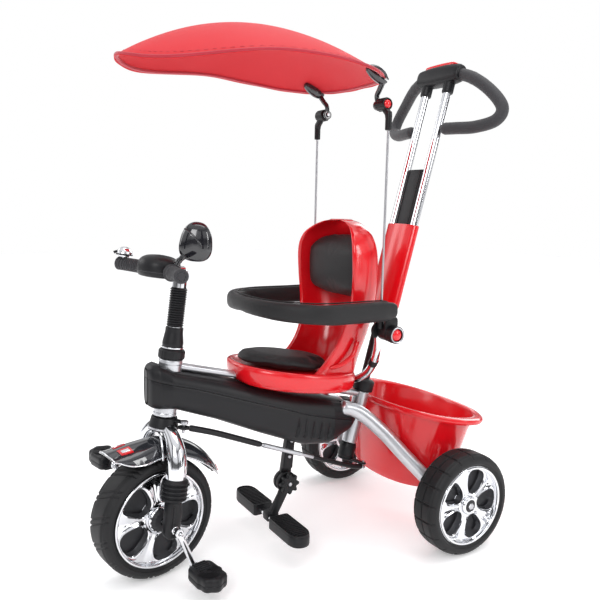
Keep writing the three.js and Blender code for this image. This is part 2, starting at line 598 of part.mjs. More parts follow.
// The fork, in the steering group's axes: x along the axle, z up the steering axis.
function fork() {
  const steerer = rod("z", 14.3, 302, [0, 0, 336], 12);
  const arch = tube(
    [[67, 0, 100], [66, 0, 122], [56, 0, 152], [34, 0, 177], [0, 0, 188], [-34, 0, 177], [-56, 0, 152], [-66, 0, 122],
      [-67, 0, 100]],
    15, 10, 12,
  );
  const coneRoom = turned([[14.5, 171], [31, 171], [27, 207], [14.5, 207], [14.5, 171]], 12);
  add("fork_crown", cut(join(steerer, arch), cut(coneRoom, rod("z", 14.2, 80, [0, 0, 190], 12))), chrome, steered);
  const archRoom = tube([[56, 0, 152], [34, 0, 177], [0, 0, 188], [-34, 0, 177], [-56, 0, 152]], 16, 10, 6);
  const cone = turned([[14.8, 176], [30, 176], [30, 180], [26, 206], [14.8, 206], [14.8, 176]], 12);
  const arm = lever(201, 6, 22, steering.turn);
  const away = radians(armAngle - steering.turn);
  const reach = Math.hypot(linkPin.side, linkPin.back);
  const pin = rod("z", 3, 20, [reach * Math.cos(away), reach * Math.sin(away), 190], 8);
  const whole = cut(join(cone, arm, pin), archRoom, rod("z", 14.8, 60, [0, 0, 190], 12));
  add("fork_cone", whole.decompose().sort((a, b) => b.volume() - a.volume())[0], blackPlastic, steered);
  for (const [side, s] of [["left", 1], ["right", -1]]) {
    const rings = spread(4, 98, 68).flatMap((z) => [[21.5, z], [25.5, z - 4]]);
    const boot = turned([[0, 99], [20, 99], ...rings, [16, 56], [0, 56]], 10, "z", [s * 68, 0, 0]);
    const leg = loft(
      [[60, 13, 13, 68], [40, 13.5, 13.5, 70], [10, 12.5, 16, 72], [-12, 12, 15, 72], [-20, 10, 8, 72]].map(([z, w, d, x]) =>
        oval(10, 2.4, (c, n) => new THREE.Vector3(s * (x + w * c), d * n, z)),
      ),
    );
    const bore = rod("x", 6.9, 60, [s * legOffset, 0, 0], 10);
    const socket = rod("z", 15.6, 30, [s * 67, 0, 114.5], 8);
    add("fork_leg_" + side, cut(join(boot, leg), bore, socket), blackPlastic, steered);
  }
  add("fender", fender(), smoked, steered);
}

// Fender: a deep arch over the tyre, flared up at the front and tapering to a tail.
function fender() {
  const angles = spread(11, -42, 64);
  const section = (deg) => {
    const a = radians(deg);
    const ridge = along([[-42, 186], [-30, 172], [-16, 165], [40, 163], [64, 163]], deg);
    const edge = along([[-42, 180], [-36, 148], [-22, 131], [-9, 129], [0, 134], [9, 134], [17, 131], [34, 134], [54, 146], [64, 158]], deg);
    const half = along([[-42, 30], [-34, 41], [-22, 42], [-10, 36], [0, 33], [10, 36], [40, 36], [56, 24], [64, 10]], deg);
    const loop = (h, r0, r1) =>
      spread(7, -1, 1).map((t) => {
        const r = mix(r0, r1, (1 - t * t) ** 0.6);
        return new THREE.Vector3(h * t * (1.12 - 0.12 * t * t), r * Math.sin(a), r * Math.cos(a));
      });
    return [...loop(half, edge, ridge), ...loop(half - 2.2, edge, ridge - 2.4).reverse()];
  };
  const arch = loft(angles.map(section), true);
  const crownRoom = tube([[66, 0, 122], [56, 0, 152], [34, 0, 177], [0, 0, 188], [-34, 0, 177], [-56, 0, 152], [-66, 0, 122]], 17, 10, 8);
  const bracket = box([20, 30, 7], [0, 0, 166]);
  return cut(join(arch, bracket), crownRoom);
}

function frontWheelNodes() {
  // Turned back by the rake, so that a corner of the faceted tyre, not a flat, meets the ground.
  add("front_tyre", tyre(frontWheel), tyreBlack, steered).rotation.x = radians(steering.rake);
  add("front_rim", rim(frontWheel, 6.9, 24, 33), chrome, steered).rotation.x = radians(steering.rake);
  const { length, back, down, offset, spindleEnd } = crank;
  const arm = (s) =>
    join(
      tube([[s * offset, 0, 0], [s * offset, s * back, -s * down]], 6.5, 12),
      rod("x", 9, 13, [s * offset, 0, 0], 10),
      rod("x", 8, 13, [s * offset, s * back, -s * down], 10),
      rod("x", 5, spindleEnd - offset, [(s * (spindleEnd + offset)) / 2, s * back, -s * down], 8),
    );
  add("front_axle", join(rod("x", 6, 2 * offset, [0, 0, 0], 10), arm(1), arm(-1)), chrome, steered);
  for (const [side, s] of [["left", 1], ["right", -1]]) {
    const place = [s * 147, s * back, -s * down];
    add("pedal_" + side, pedal(s), blackPlastic, steered).position.set(...place);
  }
}

// Pedal: a thick tread with rounded lobes on its outer edge, level with the ground at rest.
function pedal(s) {
  const lobes = [[-6, 2, 33, 28], [22, -20, 15, 27], [28, 4, 14, 26], [18, 22, 14, 27], [2, -26, 14, 26]];
  const disc = ([x, y, r, h]) => rod("z", r, h, [s * x, y, 0], 10);
  const body = join(box([40, 52, 28], [s * -16, 0, 0]), ...lobes.map(disc));
  const level = body.rotate([steering.rake, 0, 0]);
  return cut(level, rod("x", 5.9, 143, [s * -36.5, 0, 0], 10));
}

// Stem, handlebar, grips, centre pad, bell and mirror.
const barHeight = 500;
const barForward = -50;
function handlebarNodes() {
  const collar = turned([[14.7, 349], [20, 349], [21, 358], [18, 380], [18, 389], [14.7, 389], [14.7, 349]], 18);
  add("stem_collar", collar, blackPlastic, steered);
  const ribs = spread(5, 393, 457).flatMap((z) => [[15, z], [16.6, z + 5.2]]);
  const ribbed = turned([[14.7, 389.6], ...ribs, [14.7, 470], [14.7, 389.6]], 12);
  add("stem_sleeve", ribbed, blackPlastic, steered);
  const half = [[30, barForward], [60, -53], [96, -63], [124, -74]];
  const path = [...half.map(([x, y]) => [-x, y]).reverse(), ...half].map(([x, y]) => [x, y, barHeight]);
  const barTube = (radius) => tube(path, radius, 8, 10);
  const stemReach = (radius, back, front) => tube([[0, back, barHeight], [0, front, barHeight]], radius, 12);
  const riser = rod("z", 14.3, 18, [0, 0, 496.6], 10);
  add("handlebar", join(barTube(9), stemReach(12, 4, barForward), riser), chrome, steered);
  for (const [side, s] of [["left", 1], ["right", -1]]) {
    const cover = tube([[50, -51.7], [72, -56], [96, -63], [124, -74]].map(([x, y]) => [s * x, y, barHeight]), 13.5, 10, 4);
    const flange = tube([[s * 50, -51.7, barHeight], [s * 54, -52.5, barHeight]], 17, 10);
    add("grip_" + side, cut(join(cover, flange), barTube(9.6)), foam, steered);
  }
  const pad = loft(
    [[486, 26], [491, 37], [505, 41], [519, 37], [530, 20]].map(([z, r]) =>
      oval(14, 2.1, (c, n) => new THREE.Vector3(1.04 * r * c, barForward + r * n, z)),
    ),
  );
  const slot = box([70, 100, 40], [0, barForward, barHeight - 24]);
  add("bar_pad", cut(pad, barTube(9.6), stemReach(12.6, 10, barForward - 10), slot), blackPad, steered);
}

function bellAndMirror() {
  const [bellX, bellY] = [-112, -69];
  const dome = turned([[0, 0], [16, 0], [16, 5], [12, 12], [0, 16.5]], 16, "z", [bellX, bellY, 518]);
  const foot = rod("z", 6, 8, [bellX, bellY, 517], 8);
  add("bell", cut(join(dome, foot), rod("x", 14.6, 40, [bellX, bellY, barHeight], 8)), chrome, steered);
  // The mirror head is a rounded triangle, its back domed; it stands on a bent stalk beside the pad.
  const head = loft(
    [[0, 0.96], [3, 1], [10, 0.88], [18, 0.4]].map(([depth, scale]) =>
      oval(14, 2.5, (c, n) => new THREE.Vector3(31 * scale * (1 - 0.16 * n) * c, -depth, 38 * scale * n)),
    ),
  );
  const stalk = tube([[44, -38, 515], [46, -36, 523], [55, -30, 536], [60, -27, 548]], 5, 8, 5);
  add("mirror", join(head.rotate([0, 0, 52]).translate([62, -12, 564]), stalk), blackPlastic, steered);
}

// Footrest: a bracket under the cover, a folding leg on the star knob's bolt, and two pads on twin rods.
function footrest() {
  const { y, z } = footrestPivot;
  const strap = loft(
    [[262, -300, 11, 9], [225, -306, 12, 11], [170, -312, 12, 13], [z - 12, y, 12, 15]].map(([h, back, w, d]) =>
      oval(12, 3.4, (c, n) => new THREE.Vector3(-2 + w * c, back + d * n, h)),
    ),
  );
  const bracketEnd = rod("x", 24, 10, [-8, y, z], 14);
  const legSide = box([13, 60, 60], [6.2, y, z - 4]);
  const boltRoom = rod("x", 4.4, 80, [0, y, z], 8);
  add("footrest_bracket", cut(cut(join(strap), legSide).add(bracketEnd), boltRoom), blackPlastic);
  const hinge = rod("x", 24, 10, [5, y, z], 14);
  const leg = loft(
    [[z, y, 6, 12], [z - 30, y - 11, 9, 12], [66, -350, 11, 12], [58, -353, 11, 10]].map(([h, back, w, d]) =>
      oval(12, 3.2, (c, n) => new THREE.Vector3(5 + w * 0.8 * c, back + d * n, h)),
    ),
  );
  const low = box([26, 30, 22], [1, -352, 62]);
  const barRoom = [-1, 1].map((k) => rod("x", 4 + gap, 120, [0, -352 + 9 * k, 62], 8));
  const bracketRoom = rod("x", 25.2, 14.4, [-7.4, y, z], 14);
  add("footrest_leg", cut(join(hinge, leg, low), ...barRoom, boltRoom, bracketRoom), blackPlastic);
  const star = Array.from({ length: 8 }, (_, i) => {
    const a = (i * Math.PI) / 4;
    return rod("x", 7, 13, [20, y + 17 * Math.cos(a), z + 17 * Math.sin(a)], 6);
  });
  add("footrest_knob", join(rod("x", 18, 13, [20, y, z], 10), rod("x", 4, 40, [6, y, z], 8), ...star), blackPlastic);
  const bars = join(
    ...[-1, 1].map((k) => rod("x", 4, 254, [0, -352 + 9 * k, 62], 8)),
    ...[-1, 1].map((s) => box([6, 24, 6], [s * 120, -352, 62])),
  );
  add("footrest_bars", bars, chrome);
  for (const [side, s] of [["left", 1], ["right", -1]]) {
    const outline = new THREE.Shape();
    outline.moveTo(-58, -24);
    outline.lineTo(38, -24);
    outline.absarc(34, 0, 24, -Math.PI / 2 + 0.2, Math.PI / 2 - 0.2);
    outline.lineTo(-58, 24);
    outline.closePath();
    const options = { depth: 26, bevelEnabled: false, curveSegments: 5 };
    const plate = placed(new THREE.ExtrudeGeometry(outline, options), [0, 0, -13]);
    const pad = (s > 0 ? plate : plate.mirror([1, 0, 0])).translate([s * 90, -352, 62]);
    const room = join(
      ...[-1, 1].map((k) => rod("x", 4 + gap, 264, [0, -352 + 9 * k, 62], 8)),
      box([8, 26, 8], [s * 120, -352, 62]),
    );
    const hollow = box([98, 36, 18], [s * 83, -352, 53.5]);
    add("footrest_pad_" + side, cut(pad, room, hollow), blackPlastic);
  }
}

rearWheels();
mainFrame();
rearArms();
bodyCover();
seatShell();
cushions();
tub();
supports();
guard();
canopy();
pushHandle();
handleTop();
linkage();
fork();
frontWheelNodes();
handlebarNodes();
bellAndMirror();
footrest();

export default tricycle;
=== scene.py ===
import bmesh
import bpy
import json
import math
import numpy as np
from mathutils import Matrix, Vector

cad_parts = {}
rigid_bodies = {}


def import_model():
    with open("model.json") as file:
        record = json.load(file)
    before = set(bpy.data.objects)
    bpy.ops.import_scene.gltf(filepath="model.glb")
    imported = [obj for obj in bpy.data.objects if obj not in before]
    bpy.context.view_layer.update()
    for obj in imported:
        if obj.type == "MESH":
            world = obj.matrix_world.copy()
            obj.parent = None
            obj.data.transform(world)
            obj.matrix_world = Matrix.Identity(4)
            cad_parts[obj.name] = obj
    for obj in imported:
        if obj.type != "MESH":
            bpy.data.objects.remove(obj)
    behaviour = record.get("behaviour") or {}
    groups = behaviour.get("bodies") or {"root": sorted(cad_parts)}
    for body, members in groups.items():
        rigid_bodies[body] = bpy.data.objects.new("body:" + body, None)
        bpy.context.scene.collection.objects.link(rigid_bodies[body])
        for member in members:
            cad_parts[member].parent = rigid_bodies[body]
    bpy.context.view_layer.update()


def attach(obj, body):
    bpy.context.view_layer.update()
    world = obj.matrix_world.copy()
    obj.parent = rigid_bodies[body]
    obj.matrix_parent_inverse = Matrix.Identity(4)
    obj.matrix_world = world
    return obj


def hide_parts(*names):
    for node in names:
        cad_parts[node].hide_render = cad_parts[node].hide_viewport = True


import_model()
unit = 0.001
bothSides = (("Left", 1), ("Right", -1))
# Where the guard and the canopy turn, as y and z in the design frame.
guardPivot = (-152, 492)
canopyHinge = (-164, 972)

# Places of the tilted groups: a turn about x, a turn about z before it, and an offset, all in millimetres.
places = {
    "row": {"lean": 0.0, "turn": 0.0, "offset": (0.0, 0.0, 0.0)},
    "design": {"lean": 0.0, "turn": 0.0, "offset": (0.0, 298.12, 0.0)},
    "head": {"lean": -7.0, "turn": 0.0, "offset": (0.0, -328.88, 126.47)},
    "steer": {"lean": -7.0, "turn": 9.84, "offset": (0.0, -328.88, 126.47)},
    "post": {"lean": -15.1, "turn": 0.0, "offset": (0.0, 195.12, 335.0)},
}


def placeMatrix(name):
    place = places[name]
    offset = Matrix.Translation(Vector(place["offset"]) * unit)
    lean = Matrix.Rotation(math.radians(place["lean"]), 4, "X")
    turn = Matrix.Rotation(math.radians(place["turn"]), 4, "Z")
    return offset @ lean @ turn @ Matrix.Scale(unit, 4)


# Shape helpers. A skin is a pair: an array of points and a list of faces.
def skin(rings, closed=True, looped=False, caps=True):
    # Quads join each ring of points to the next one, and a fan from its middle closes each end.
    rings = np.asarray(rings, float)
    runs, count = rings.shape[:2]
    i = np.arange(runs if looped else runs - 1)[:, None]
    j = np.arange(count if closed else count - 1)[None]
    nextRun = (i + 1) % runs
    nextPoint = (j + 1) % count
    quads = np.stack([i * count + j, i * count + nextPoint, nextRun * count + nextPoint,
                      nextRun * count + j], -1)
    points = rings.reshape(-1, 3)
    faces = quads.reshape(-1, 4).tolist()
    if caps and not looped:
        middles = np.array([rings[0].mean(0), rings[-1].mean(0)])
        for end, first in enumerate([0, (runs - 1) * count]):
            hub = len(points) + end
            around = np.arange(count)
            fan = np.stack([np.full(count, hub), first + around, first + (around + 1) % count], -1)
            faces += fan.tolist()
        points = np.vstack([points, middles])
    return points, faces


def oval(count, exponent=2.0):
    # A closed superellipse: exponent 2 is round and 4 is boxy.
    a = np.linspace(0, 2 * np.pi, count, endpoint=False)
    c, s = np.cos(a), np.sin(a)
    power = 2 / exponent
    return np.sign(c) * np.abs(c) ** power, np.sign(s) * np.abs(s) ** power


def bump(t, middle, width, height):
    # A bell curve over t.
    return height * np.exp(-(((t - middle) / width) ** 2))


def smooth(rows, count):
    # A Catmull-Rom curve through rows of any width.
    p = np.asarray(rows, float)
    wide = np.vstack([2 * p[0] - p[1], p, 2 * p[-1] - p[-2]])
    t = np.linspace(0, len(p) - 1, count)
    k = np.minimum(t.astype(int), len(p) - 2)
    f = (t - k)[:, None]
    a, b, c, d = wide[k], wide[k + 1], wide[k + 2], wide[k + 3]
    return 0.5 * (2 * b + (c - a) * f + (2 * a - 5 * b + 4 * c - d) * f**2 + (3 * b - a - 3 * c + d) * f**3)


def rounded(points, radius, steps=4, closed=False):
    # Each corner of a flat line becomes a short curve that starts and ends "radius" from it.
    p = np.asarray(points, float)
    out = []
    for k in range(len(p)):
        if not closed and k in (0, len(p) - 1):
            out.append(p[k])
            continue
        before, here, after = p[k - 1], p[k], p[(k + 1) % len(p)]
        sides = [q - here for q in (before, after)]
        reach = [min(radius, np.linalg.norm(v) * 0.49) / max(np.linalg.norm(v), 1e-9) for v in sides]
        start, end = (here + v * r for v, r in zip(sides, reach))
        for t in np.linspace(0, 1, steps + 1):
            out.append((1 - t) ** 2 * start + 2 * t * (1 - t) * here + t**2 * end)
    return np.array(out)


def framesAlong(path, up=(0, 0, 1)):
    # At each point, "up" made square to the path there, and the direction square to both.
    tangent = np.gradient(path, axis=0)
    tangent /= np.linalg.norm(tangent, axis=1, keepdims=True)
    normals = []
    current = np.array(up, float)
    if abs(current @ tangent[0]) > 0.95:
        current = np.array((1.0, 0.0, 0.0))
    for t in tangent:
        current = current - t * (current @ t)
        current /= np.linalg.norm(current)
        normals.append(current)
    normals = np.array(normals)
    return np.cross(normals, tangent), normals


def tube(path, radius, sides=28, up=(0, 0, 1), flat=1.0, exponent=2.0, roundEnds=0):
    # A tube along a path: radius is one number or one for each point, and flat scales its height.
    path = np.asarray(path, float)
    side, normal = framesAlong(path, up)
    radius = np.broadcast_to(np.asarray(radius, float), len(path)).copy()
    if roundEnds:
        # The first and last rings close over a quarter circle.
        fall = np.sqrt(1 - np.linspace(0.96, 0, roundEnds) ** 2)
        radius[:roundEnds] *= fall
        radius[-roundEnds:] *= fall[::-1]
    c, s = oval(sides, exponent)
    ring = side[:, None] * c[None, :, None] + normal[:, None] * (s * flat)[None, :, None]
    return skin(path[:, None] + ring * radius[:, None, None])


def straight(a, b, radius, sides=28, count=2, bevel=0.0):
    # A rod between two points, its ends slightly chamfered.
    a, b = np.array(a, float), np.array(b, float)
    length = np.linalg.norm(b - a)
    t = np.linspace(0, 1, count)
    radii = np.full(count, float(radius))
    if bevel:
        t = np.concatenate([[0, bevel / length], t[1:-1], [1 - bevel / length, 1]])
        radii = np.concatenate([[radius - bevel, radius], radii[1:-1], [radius, radius - bevel]])
    return tube(a + (b - a) * t[:, None], radii, sides)


def lathe(profile, count=64, axis="z", centre=(0, 0, 0), looped=False, wave=None):
    # A profile of (radius, height) turned about an axis. wave(angle) scales the radius.
    profile = np.asarray(profile, float)
    a = np.linspace(0, 2 * np.pi, count, endpoint=False)
    radius = profile[:, :1] * (wave(a)[None] if wave else np.ones((1, count)))
    x, y = radius * np.cos(a), radius * np.sin(a)
    z = np.repeat(profile[:, 1:], count, 1)
    stack = {"z": [x, y, z], "x": [z, x, y], "y": [y, z, x]}[axis]
    return skin(np.stack(stack, -1) + np.array(centre, float), looped=looped, caps=not looped)


def openLathe(profile, count=64, axis="z", centre=(0, 0, 0), wave=None):
    # A turned profile left open at both ends: the two hub points and their fans are dropped.
    points, faces = lathe(profile, count, axis, centre, wave=wave)
    return points[:-2], faces[: -2 * count]


def turned(points, bevel, count=64, axis="z", centre=(0, 0, 0), side=1):
    # An open turned shape from a line whose corners are bevelled; side -1 points it the other way.
    return openLathe(rounded(points, bevel) * (1, side), count, axis, centre)


def block(size, centre, radius=2.0, exponent=8.0, lean=0.0):
    # A rounded box lofted along its x, its sides turned about x by "lean" degrees.
    w, d, h = (v / 2 for v in size)
    x = np.array([-w, -w + radius * 0.3, -w + radius, w - radius, w - radius * 0.3, w])
    inset = np.array([radius, radius * 0.3, 0, 0, radius * 0.3, radius])
    c, s = oval(32, exponent)
    y = (d - inset)[:, None] * c
    z = (h - inset)[:, None] * s
    a = math.radians(lean)
    turnedY, turnedZ = y * math.cos(a) - z * math.sin(a), y * math.sin(a) + z * math.cos(a)
    rings = np.stack([np.repeat(x[:, None], 32, 1), turnedY, turnedZ], -1)
    return skin(rings + np.array(centre, float))


def moved(shape, offset=(0, 0, 0), turnX=0.0, turnZ=0.0, mirror=False):
    # Mirrored over x, turned about x, turned about z, then shifted.
    points, faces = shape
    points = points.copy()
    if mirror:
        points[:, 0] *= -1
        faces = [f[::-1] for f in faces]
    turn = Matrix.Rotation(math.radians(turnZ), 3, "Z") @ Matrix.Rotation(math.radians(turnX), 3, "X")
    return points @ np.array(turn).T + np.array(offset, float), faces


def placedIn(shape, name):
    # A skin given in a group's own axes, moved into the design axes.
    points, faces = shape
    back = placeMatrix("design").inverted() @ placeMatrix(name)
    matrix = np.array(back)
    return points @ matrix[:3, :3].T + matrix[:3, 3], faces


def makeMesh(name, parts, place):
    # Skins with their material numbers become one mesh, placed, merged and facing out.
    points, faces, kinds = [], [], []
    total = 0
    for part in parts:
        (partPoints, partFaces), kind = part if isinstance(part[1], int) else (part, 0)
        points.append(partPoints)
        faces += (
            [[k + total for k in f] for f in partFaces]
            if total
            else partFaces
        )
        kinds += [kind] * len(partFaces)
        total += len(partPoints)
    matrix = np.array(placeMatrix(place))
    world = np.vstack(points) @ matrix[:3, :3].T + matrix[:3, 3]
    mesh = bpy.data.meshes.new(name)
    mesh.from_pydata(world.tolist(), [], faces)
    mesh.polygons.foreach_set("material_index", np.array(kinds, np.int32))
    work = bmesh.new()
    work.from_mesh(mesh)
    bmesh.ops.remove_doubles(work, verts=work.verts, dist=0.00002)
    bmesh.ops.dissolve_degenerate(work, edges=work.edges, dist=0.000005)
    bmesh.ops.recalc_face_normals(work, faces=work.faces)
    work.to_mesh(mesh)
    work.free()
    return mesh


def bake(obj):
    # The modified mesh replaces the object's own, and no modifier is left.
    graph = bpy.context.evaluated_depsgraph_get()
    result = bpy.data.meshes.new_from_object(obj.evaluated_get(graph))
    obj.modifiers.clear()
    obj.data = result


def finishShading(obj, sharp):
    # Smooth faces, with an edge kept sharp past the angle given in degrees.
    mesh = obj.data
    mesh.polygons.foreach_set("use_smooth", np.ones(len(mesh.polygons), bool))
    mesh.set_sharp_from_angle(angle=math.radians(sharp))


def emit(name, parts, nodes, look, body="frame", place="design", sharp=38, cutters=()):
    # One finished piece: its mesh, its materials, its cuts, the body it rides on and the nodes it replaces.
    obj = bpy.data.objects.new(name, makeMesh(name, parts, place))
    bpy.context.scene.collection.objects.link(obj)
    for material in look.split():
        obj.data.materials.append(mat[material])
    for cutter in cutters:
        tool = bpy.data.objects.new(name + "Tool", makeMesh(name + "Tool", [cutter], place))
        bpy.context.scene.collection.objects.link(tool)
        modifier = obj.modifiers.new("cut", "BOOLEAN")
        modifier.operation = "DIFFERENCE"
        modifier.solver = "EXACT"
        modifier.object = tool
        bpy.context.view_layer.update()
        bake(obj)
        bpy.data.objects.remove(tool)
    finishShading(obj, sharp)
    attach(obj, body)
    if nodes:
        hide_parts(*([nodes] if isinstance(nodes, str) else nodes))
    return obj


# Shader helpers.
def newGroup(name, inputs, outputs):
    # An empty shader group with its sockets.
    tree = bpy.data.node_groups.new(name, "ShaderNodeTree")
    for label, kind, value in inputs:
        socket = tree.interface.new_socket(label, in_out="INPUT", socket_type=kind)
        socket.default_value = value
    for label, kind in outputs:
        tree.interface.new_socket(label, in_out="OUTPUT", socket_type=kind)
    start = tree.nodes.new("NodeGroupInput")
    end = tree.nodes.new("NodeGroupOutput")
    return tree, start, end


def node(tree, kind, **values):
    # A shader node: each value is its property, or else its input of that name.
    made = tree.nodes.new(kind)
    for key, value in values.items():
        if hasattr(made, key):
            setattr(made, key, value)
        else:
            made.inputs[key.replace("_", " ")].default_value = value
    return made


def mottleGroup():
    # Two sizes of cloud mixed into one value: the large one drifts and the fine one speckles.
    tree, start, end = newGroup(
        "mottle",
        [("Large", "NodeSocketFloat", 12.0), ("Fine", "NodeSocketFloat", 220.0),
         ("Share", "NodeSocketFloat", 0.4)],
        [("Value", "NodeSocketFloat")],
    )
    link = tree.links.new
    place = node(tree, "ShaderNodeTexCoord")
    large = node(tree, "ShaderNodeTexNoise", Detail=3.0)
    fine = node(tree, "ShaderNodeTexNoise", Detail=5.0)
    mix = node(tree, "ShaderNodeMix", data_type="FLOAT")
    link(place.outputs["Object"], large.inputs["Vector"])
    link(place.outputs["Object"], fine.inputs["Vector"])
    link(start.outputs["Large"], large.inputs["Scale"])
    link(start.outputs["Fine"], fine.inputs["Scale"])
    link(start.outputs["Share"], mix.inputs[0])
    link(large.outputs[0], mix.inputs[2])
    link(fine.outputs[0], mix.inputs[3])
    link(mix.outputs[0], end.inputs[0])
    return tree


def grainGroup():
    # A moulded skin: pebbles over a faint ripple, as a bump.
    tree, start, end = newGroup(
        "grain",
        [("Scale", "NodeSocketFloat", 900.0), ("Strength", "NodeSocketFloat", 0.2),
         ("Depth", "NodeSocketFloat", 0.0002)],
        [("Normal", "NodeSocketVector"), ("Height", "NodeSocketFloat")],
    )
    link = tree.links.new
    place = node(tree, "ShaderNodeTexCoord")
    pebble = node(tree, "ShaderNodeTexVoronoi", feature="SMOOTH_F1")
    ripple = node(tree, "ShaderNodeTexNoise", Scale=35.0, Detail=2.0)
    add = node(tree, "ShaderNodeMath", operation="ADD")
    bump = node(tree, "ShaderNodeBump")
    link(place.outputs["Object"], pebble.inputs["Vector"])
    link(place.outputs["Object"], ripple.inputs["Vector"])
    link(start.outputs["Scale"], pebble.inputs["Scale"])
    link(pebble.outputs["Distance"], add.inputs[0])
    link(ripple.outputs[0], add.inputs[1])
    link(add.outputs[0], bump.inputs["Height"])
    link(start.outputs["Strength"], bump.inputs["Strength"])
    link(start.outputs["Depth"], bump.inputs["Distance"])
    link(bump.outputs[0], end.inputs[0])
    link(add.outputs[0], end.inputs[1])
    return tree


def scratchGroup():
    # Fine hairlines in two directions, from noise stretched along each.
    tree, start, end = newGroup(
        "scratch",
        [("Scale", "NodeSocketFloat", 60.0), ("Threshold", "NodeSocketFloat", 0.62)],
        [("Value", "NodeSocketFloat")],
    )
    link = tree.links.new
    place = node(tree, "ShaderNodeTexCoord")
    values = []
    for turn, stretch in [((0.3, 0.2, 0.7), (1, 22, 1)), ((1.1, 0.5, 2.0), (22, 1, 1))]:
        mapping = node(tree, "ShaderNodeMapping", Rotation=turn, Scale=stretch)
        noise = node(tree, "ShaderNodeTexNoise", Detail=2.0)
        over = node(tree, "ShaderNodeMath", operation="GREATER_THAN")
        link(place.outputs["Object"], mapping.inputs[0])
        link(mapping.outputs[0], noise.inputs["Vector"])
        link(start.outputs["Scale"], noise.inputs["Scale"])
        link(noise.outputs[0], over.inputs[0])
        link(start.outputs["Threshold"], over.inputs[1])
        values.append(over)
    both = node(tree, "ShaderNodeMath", operation="MAXIMUM")
    link(values[0].outputs[0], both.inputs[0])
    link(values[1].outputs[0], both.inputs[1])
    link(both.outputs[0], end.inputs[0])
    return tree


def weaveGroup():
    # Crossing threads: two sine bands multiplied, with a thread thickness that drifts.
    tree, start, end = newGroup(
        "weave",
        [("Pitch", "NodeSocketFloat", 900.0), ("Strength", "NodeSocketFloat", 0.5),
         ("Depth", "NodeSocketFloat", 0.0003)],
        [("Normal", "NodeSocketVector"), ("Value", "NodeSocketFloat")],
    )
    link = tree.links.new
    place = node(tree, "ShaderNodeTexCoord")
    bands = []
    for direction in ("X", "Y", "Z"):
        wave = node(tree, "ShaderNodeTexWave", bands_direction=direction, Distortion=0.6, Detail=1.0)
        link(place.outputs["Object"], wave.inputs["Vector"])
        link(start.outputs["Pitch"], wave.inputs["Scale"])
        bands.append(wave)
    first = node(tree, "ShaderNodeMath", operation="MULTIPLY")
    both = node(tree, "ShaderNodeMath", operation="MAXIMUM")
    bump = node(tree, "ShaderNodeBump")
    link(bands[0].outputs["Fac"], first.inputs[0])
    link(bands[1].outputs["Fac"], first.inputs[1])
    link(first.outputs[0], both.inputs[0])
    link(bands[2].outputs["Fac"], both.inputs[1])
    link(both.outputs[0], bump.inputs["Height"])
    link(start.outputs["Strength"], bump.inputs["Strength"])
    link(start.outputs["Depth"], bump.inputs["Distance"])
    link(bump.outputs[0], end.inputs[0])
    link(both.outputs[0], end.inputs[1])
    return tree


mottle = mottleGroup()
grain = grainGroup()
scratch = scratchGroup()
weave = weaveGroup()


def makeMaterial(name, look):
    material = bpy.data.materials.new(name)
    material.use_nodes = True
    tree = material.node_tree
    link = tree.links.new
    shader = tree.nodes["Principled BSDF"]
    clouds = node(tree, "ShaderNodeGroup", node_tree=mottle, Large=look["cloud"][0], Fine=look["cloud"][1])
    colour = node(tree, "ShaderNodeMix", data_type="RGBA")
    colour.inputs[6].default_value = (*look["colour"], 1)
    colour.inputs[7].default_value = (*look["second"], 1)
    link(clouds.outputs[0], colour.inputs[0])
    tint = colour.outputs[2]
    lines = node(tree, "ShaderNodeGroup", node_tree=scratch, Scale=look.get("scratch", (60.0, 0.7))[0])
    lines.inputs["Threshold"].default_value = look.get("scratch", (60.0, 0.7))[1]
    rough = node(tree, "ShaderNodeMapRange", To_Min=look["rough"][0], To_Max=look["rough"][1])
    link(clouds.outputs[0], rough.inputs[0])
    worn = node(tree, "ShaderNodeMath", operation="MULTIPLY_ADD")
    worn.inputs[1].default_value = look.get("wear", 0.08)
    link(lines.outputs[0], worn.inputs[0])
    link(rough.outputs[0], worn.inputs[2])
    link(worn.outputs[0], shader.inputs["Roughness"])
    if "weave" in look:
        surface = node(tree, "ShaderNodeGroup", node_tree=weave)
        surface.inputs["Pitch"].default_value = look["weave"][0]
        surface.inputs["Strength"].default_value = look["weave"][1]
        threads = node(tree, "ShaderNodeMix", data_type="RGBA", blend_type="MULTIPLY")
        threads.inputs[0].default_value = 0.5
        link(tint, threads.inputs[6])
        ramp = node(tree, "ShaderNodeMapRange", To_Min=0.72, To_Max=1.0)
        link(surface.outputs["Value"], ramp.inputs[0])
        link(ramp.outputs[0], threads.inputs[7])
        tint = threads.outputs[2]
    else:
        surface = node(tree, "ShaderNodeGroup", node_tree=grain)
        surface.inputs["Scale"].default_value = look["grain"][0]
        surface.inputs["Strength"].default_value = look["grain"][1]
    link(surface.outputs["Normal"], shader.inputs["Normal"])
    link(tint, shader.inputs["Base Color"])
    for key, value in look.get("shader", {}).items():
        shader.inputs[key].default_value = value
    material.diffuse_color = (*look["colour"], 1)
    return material


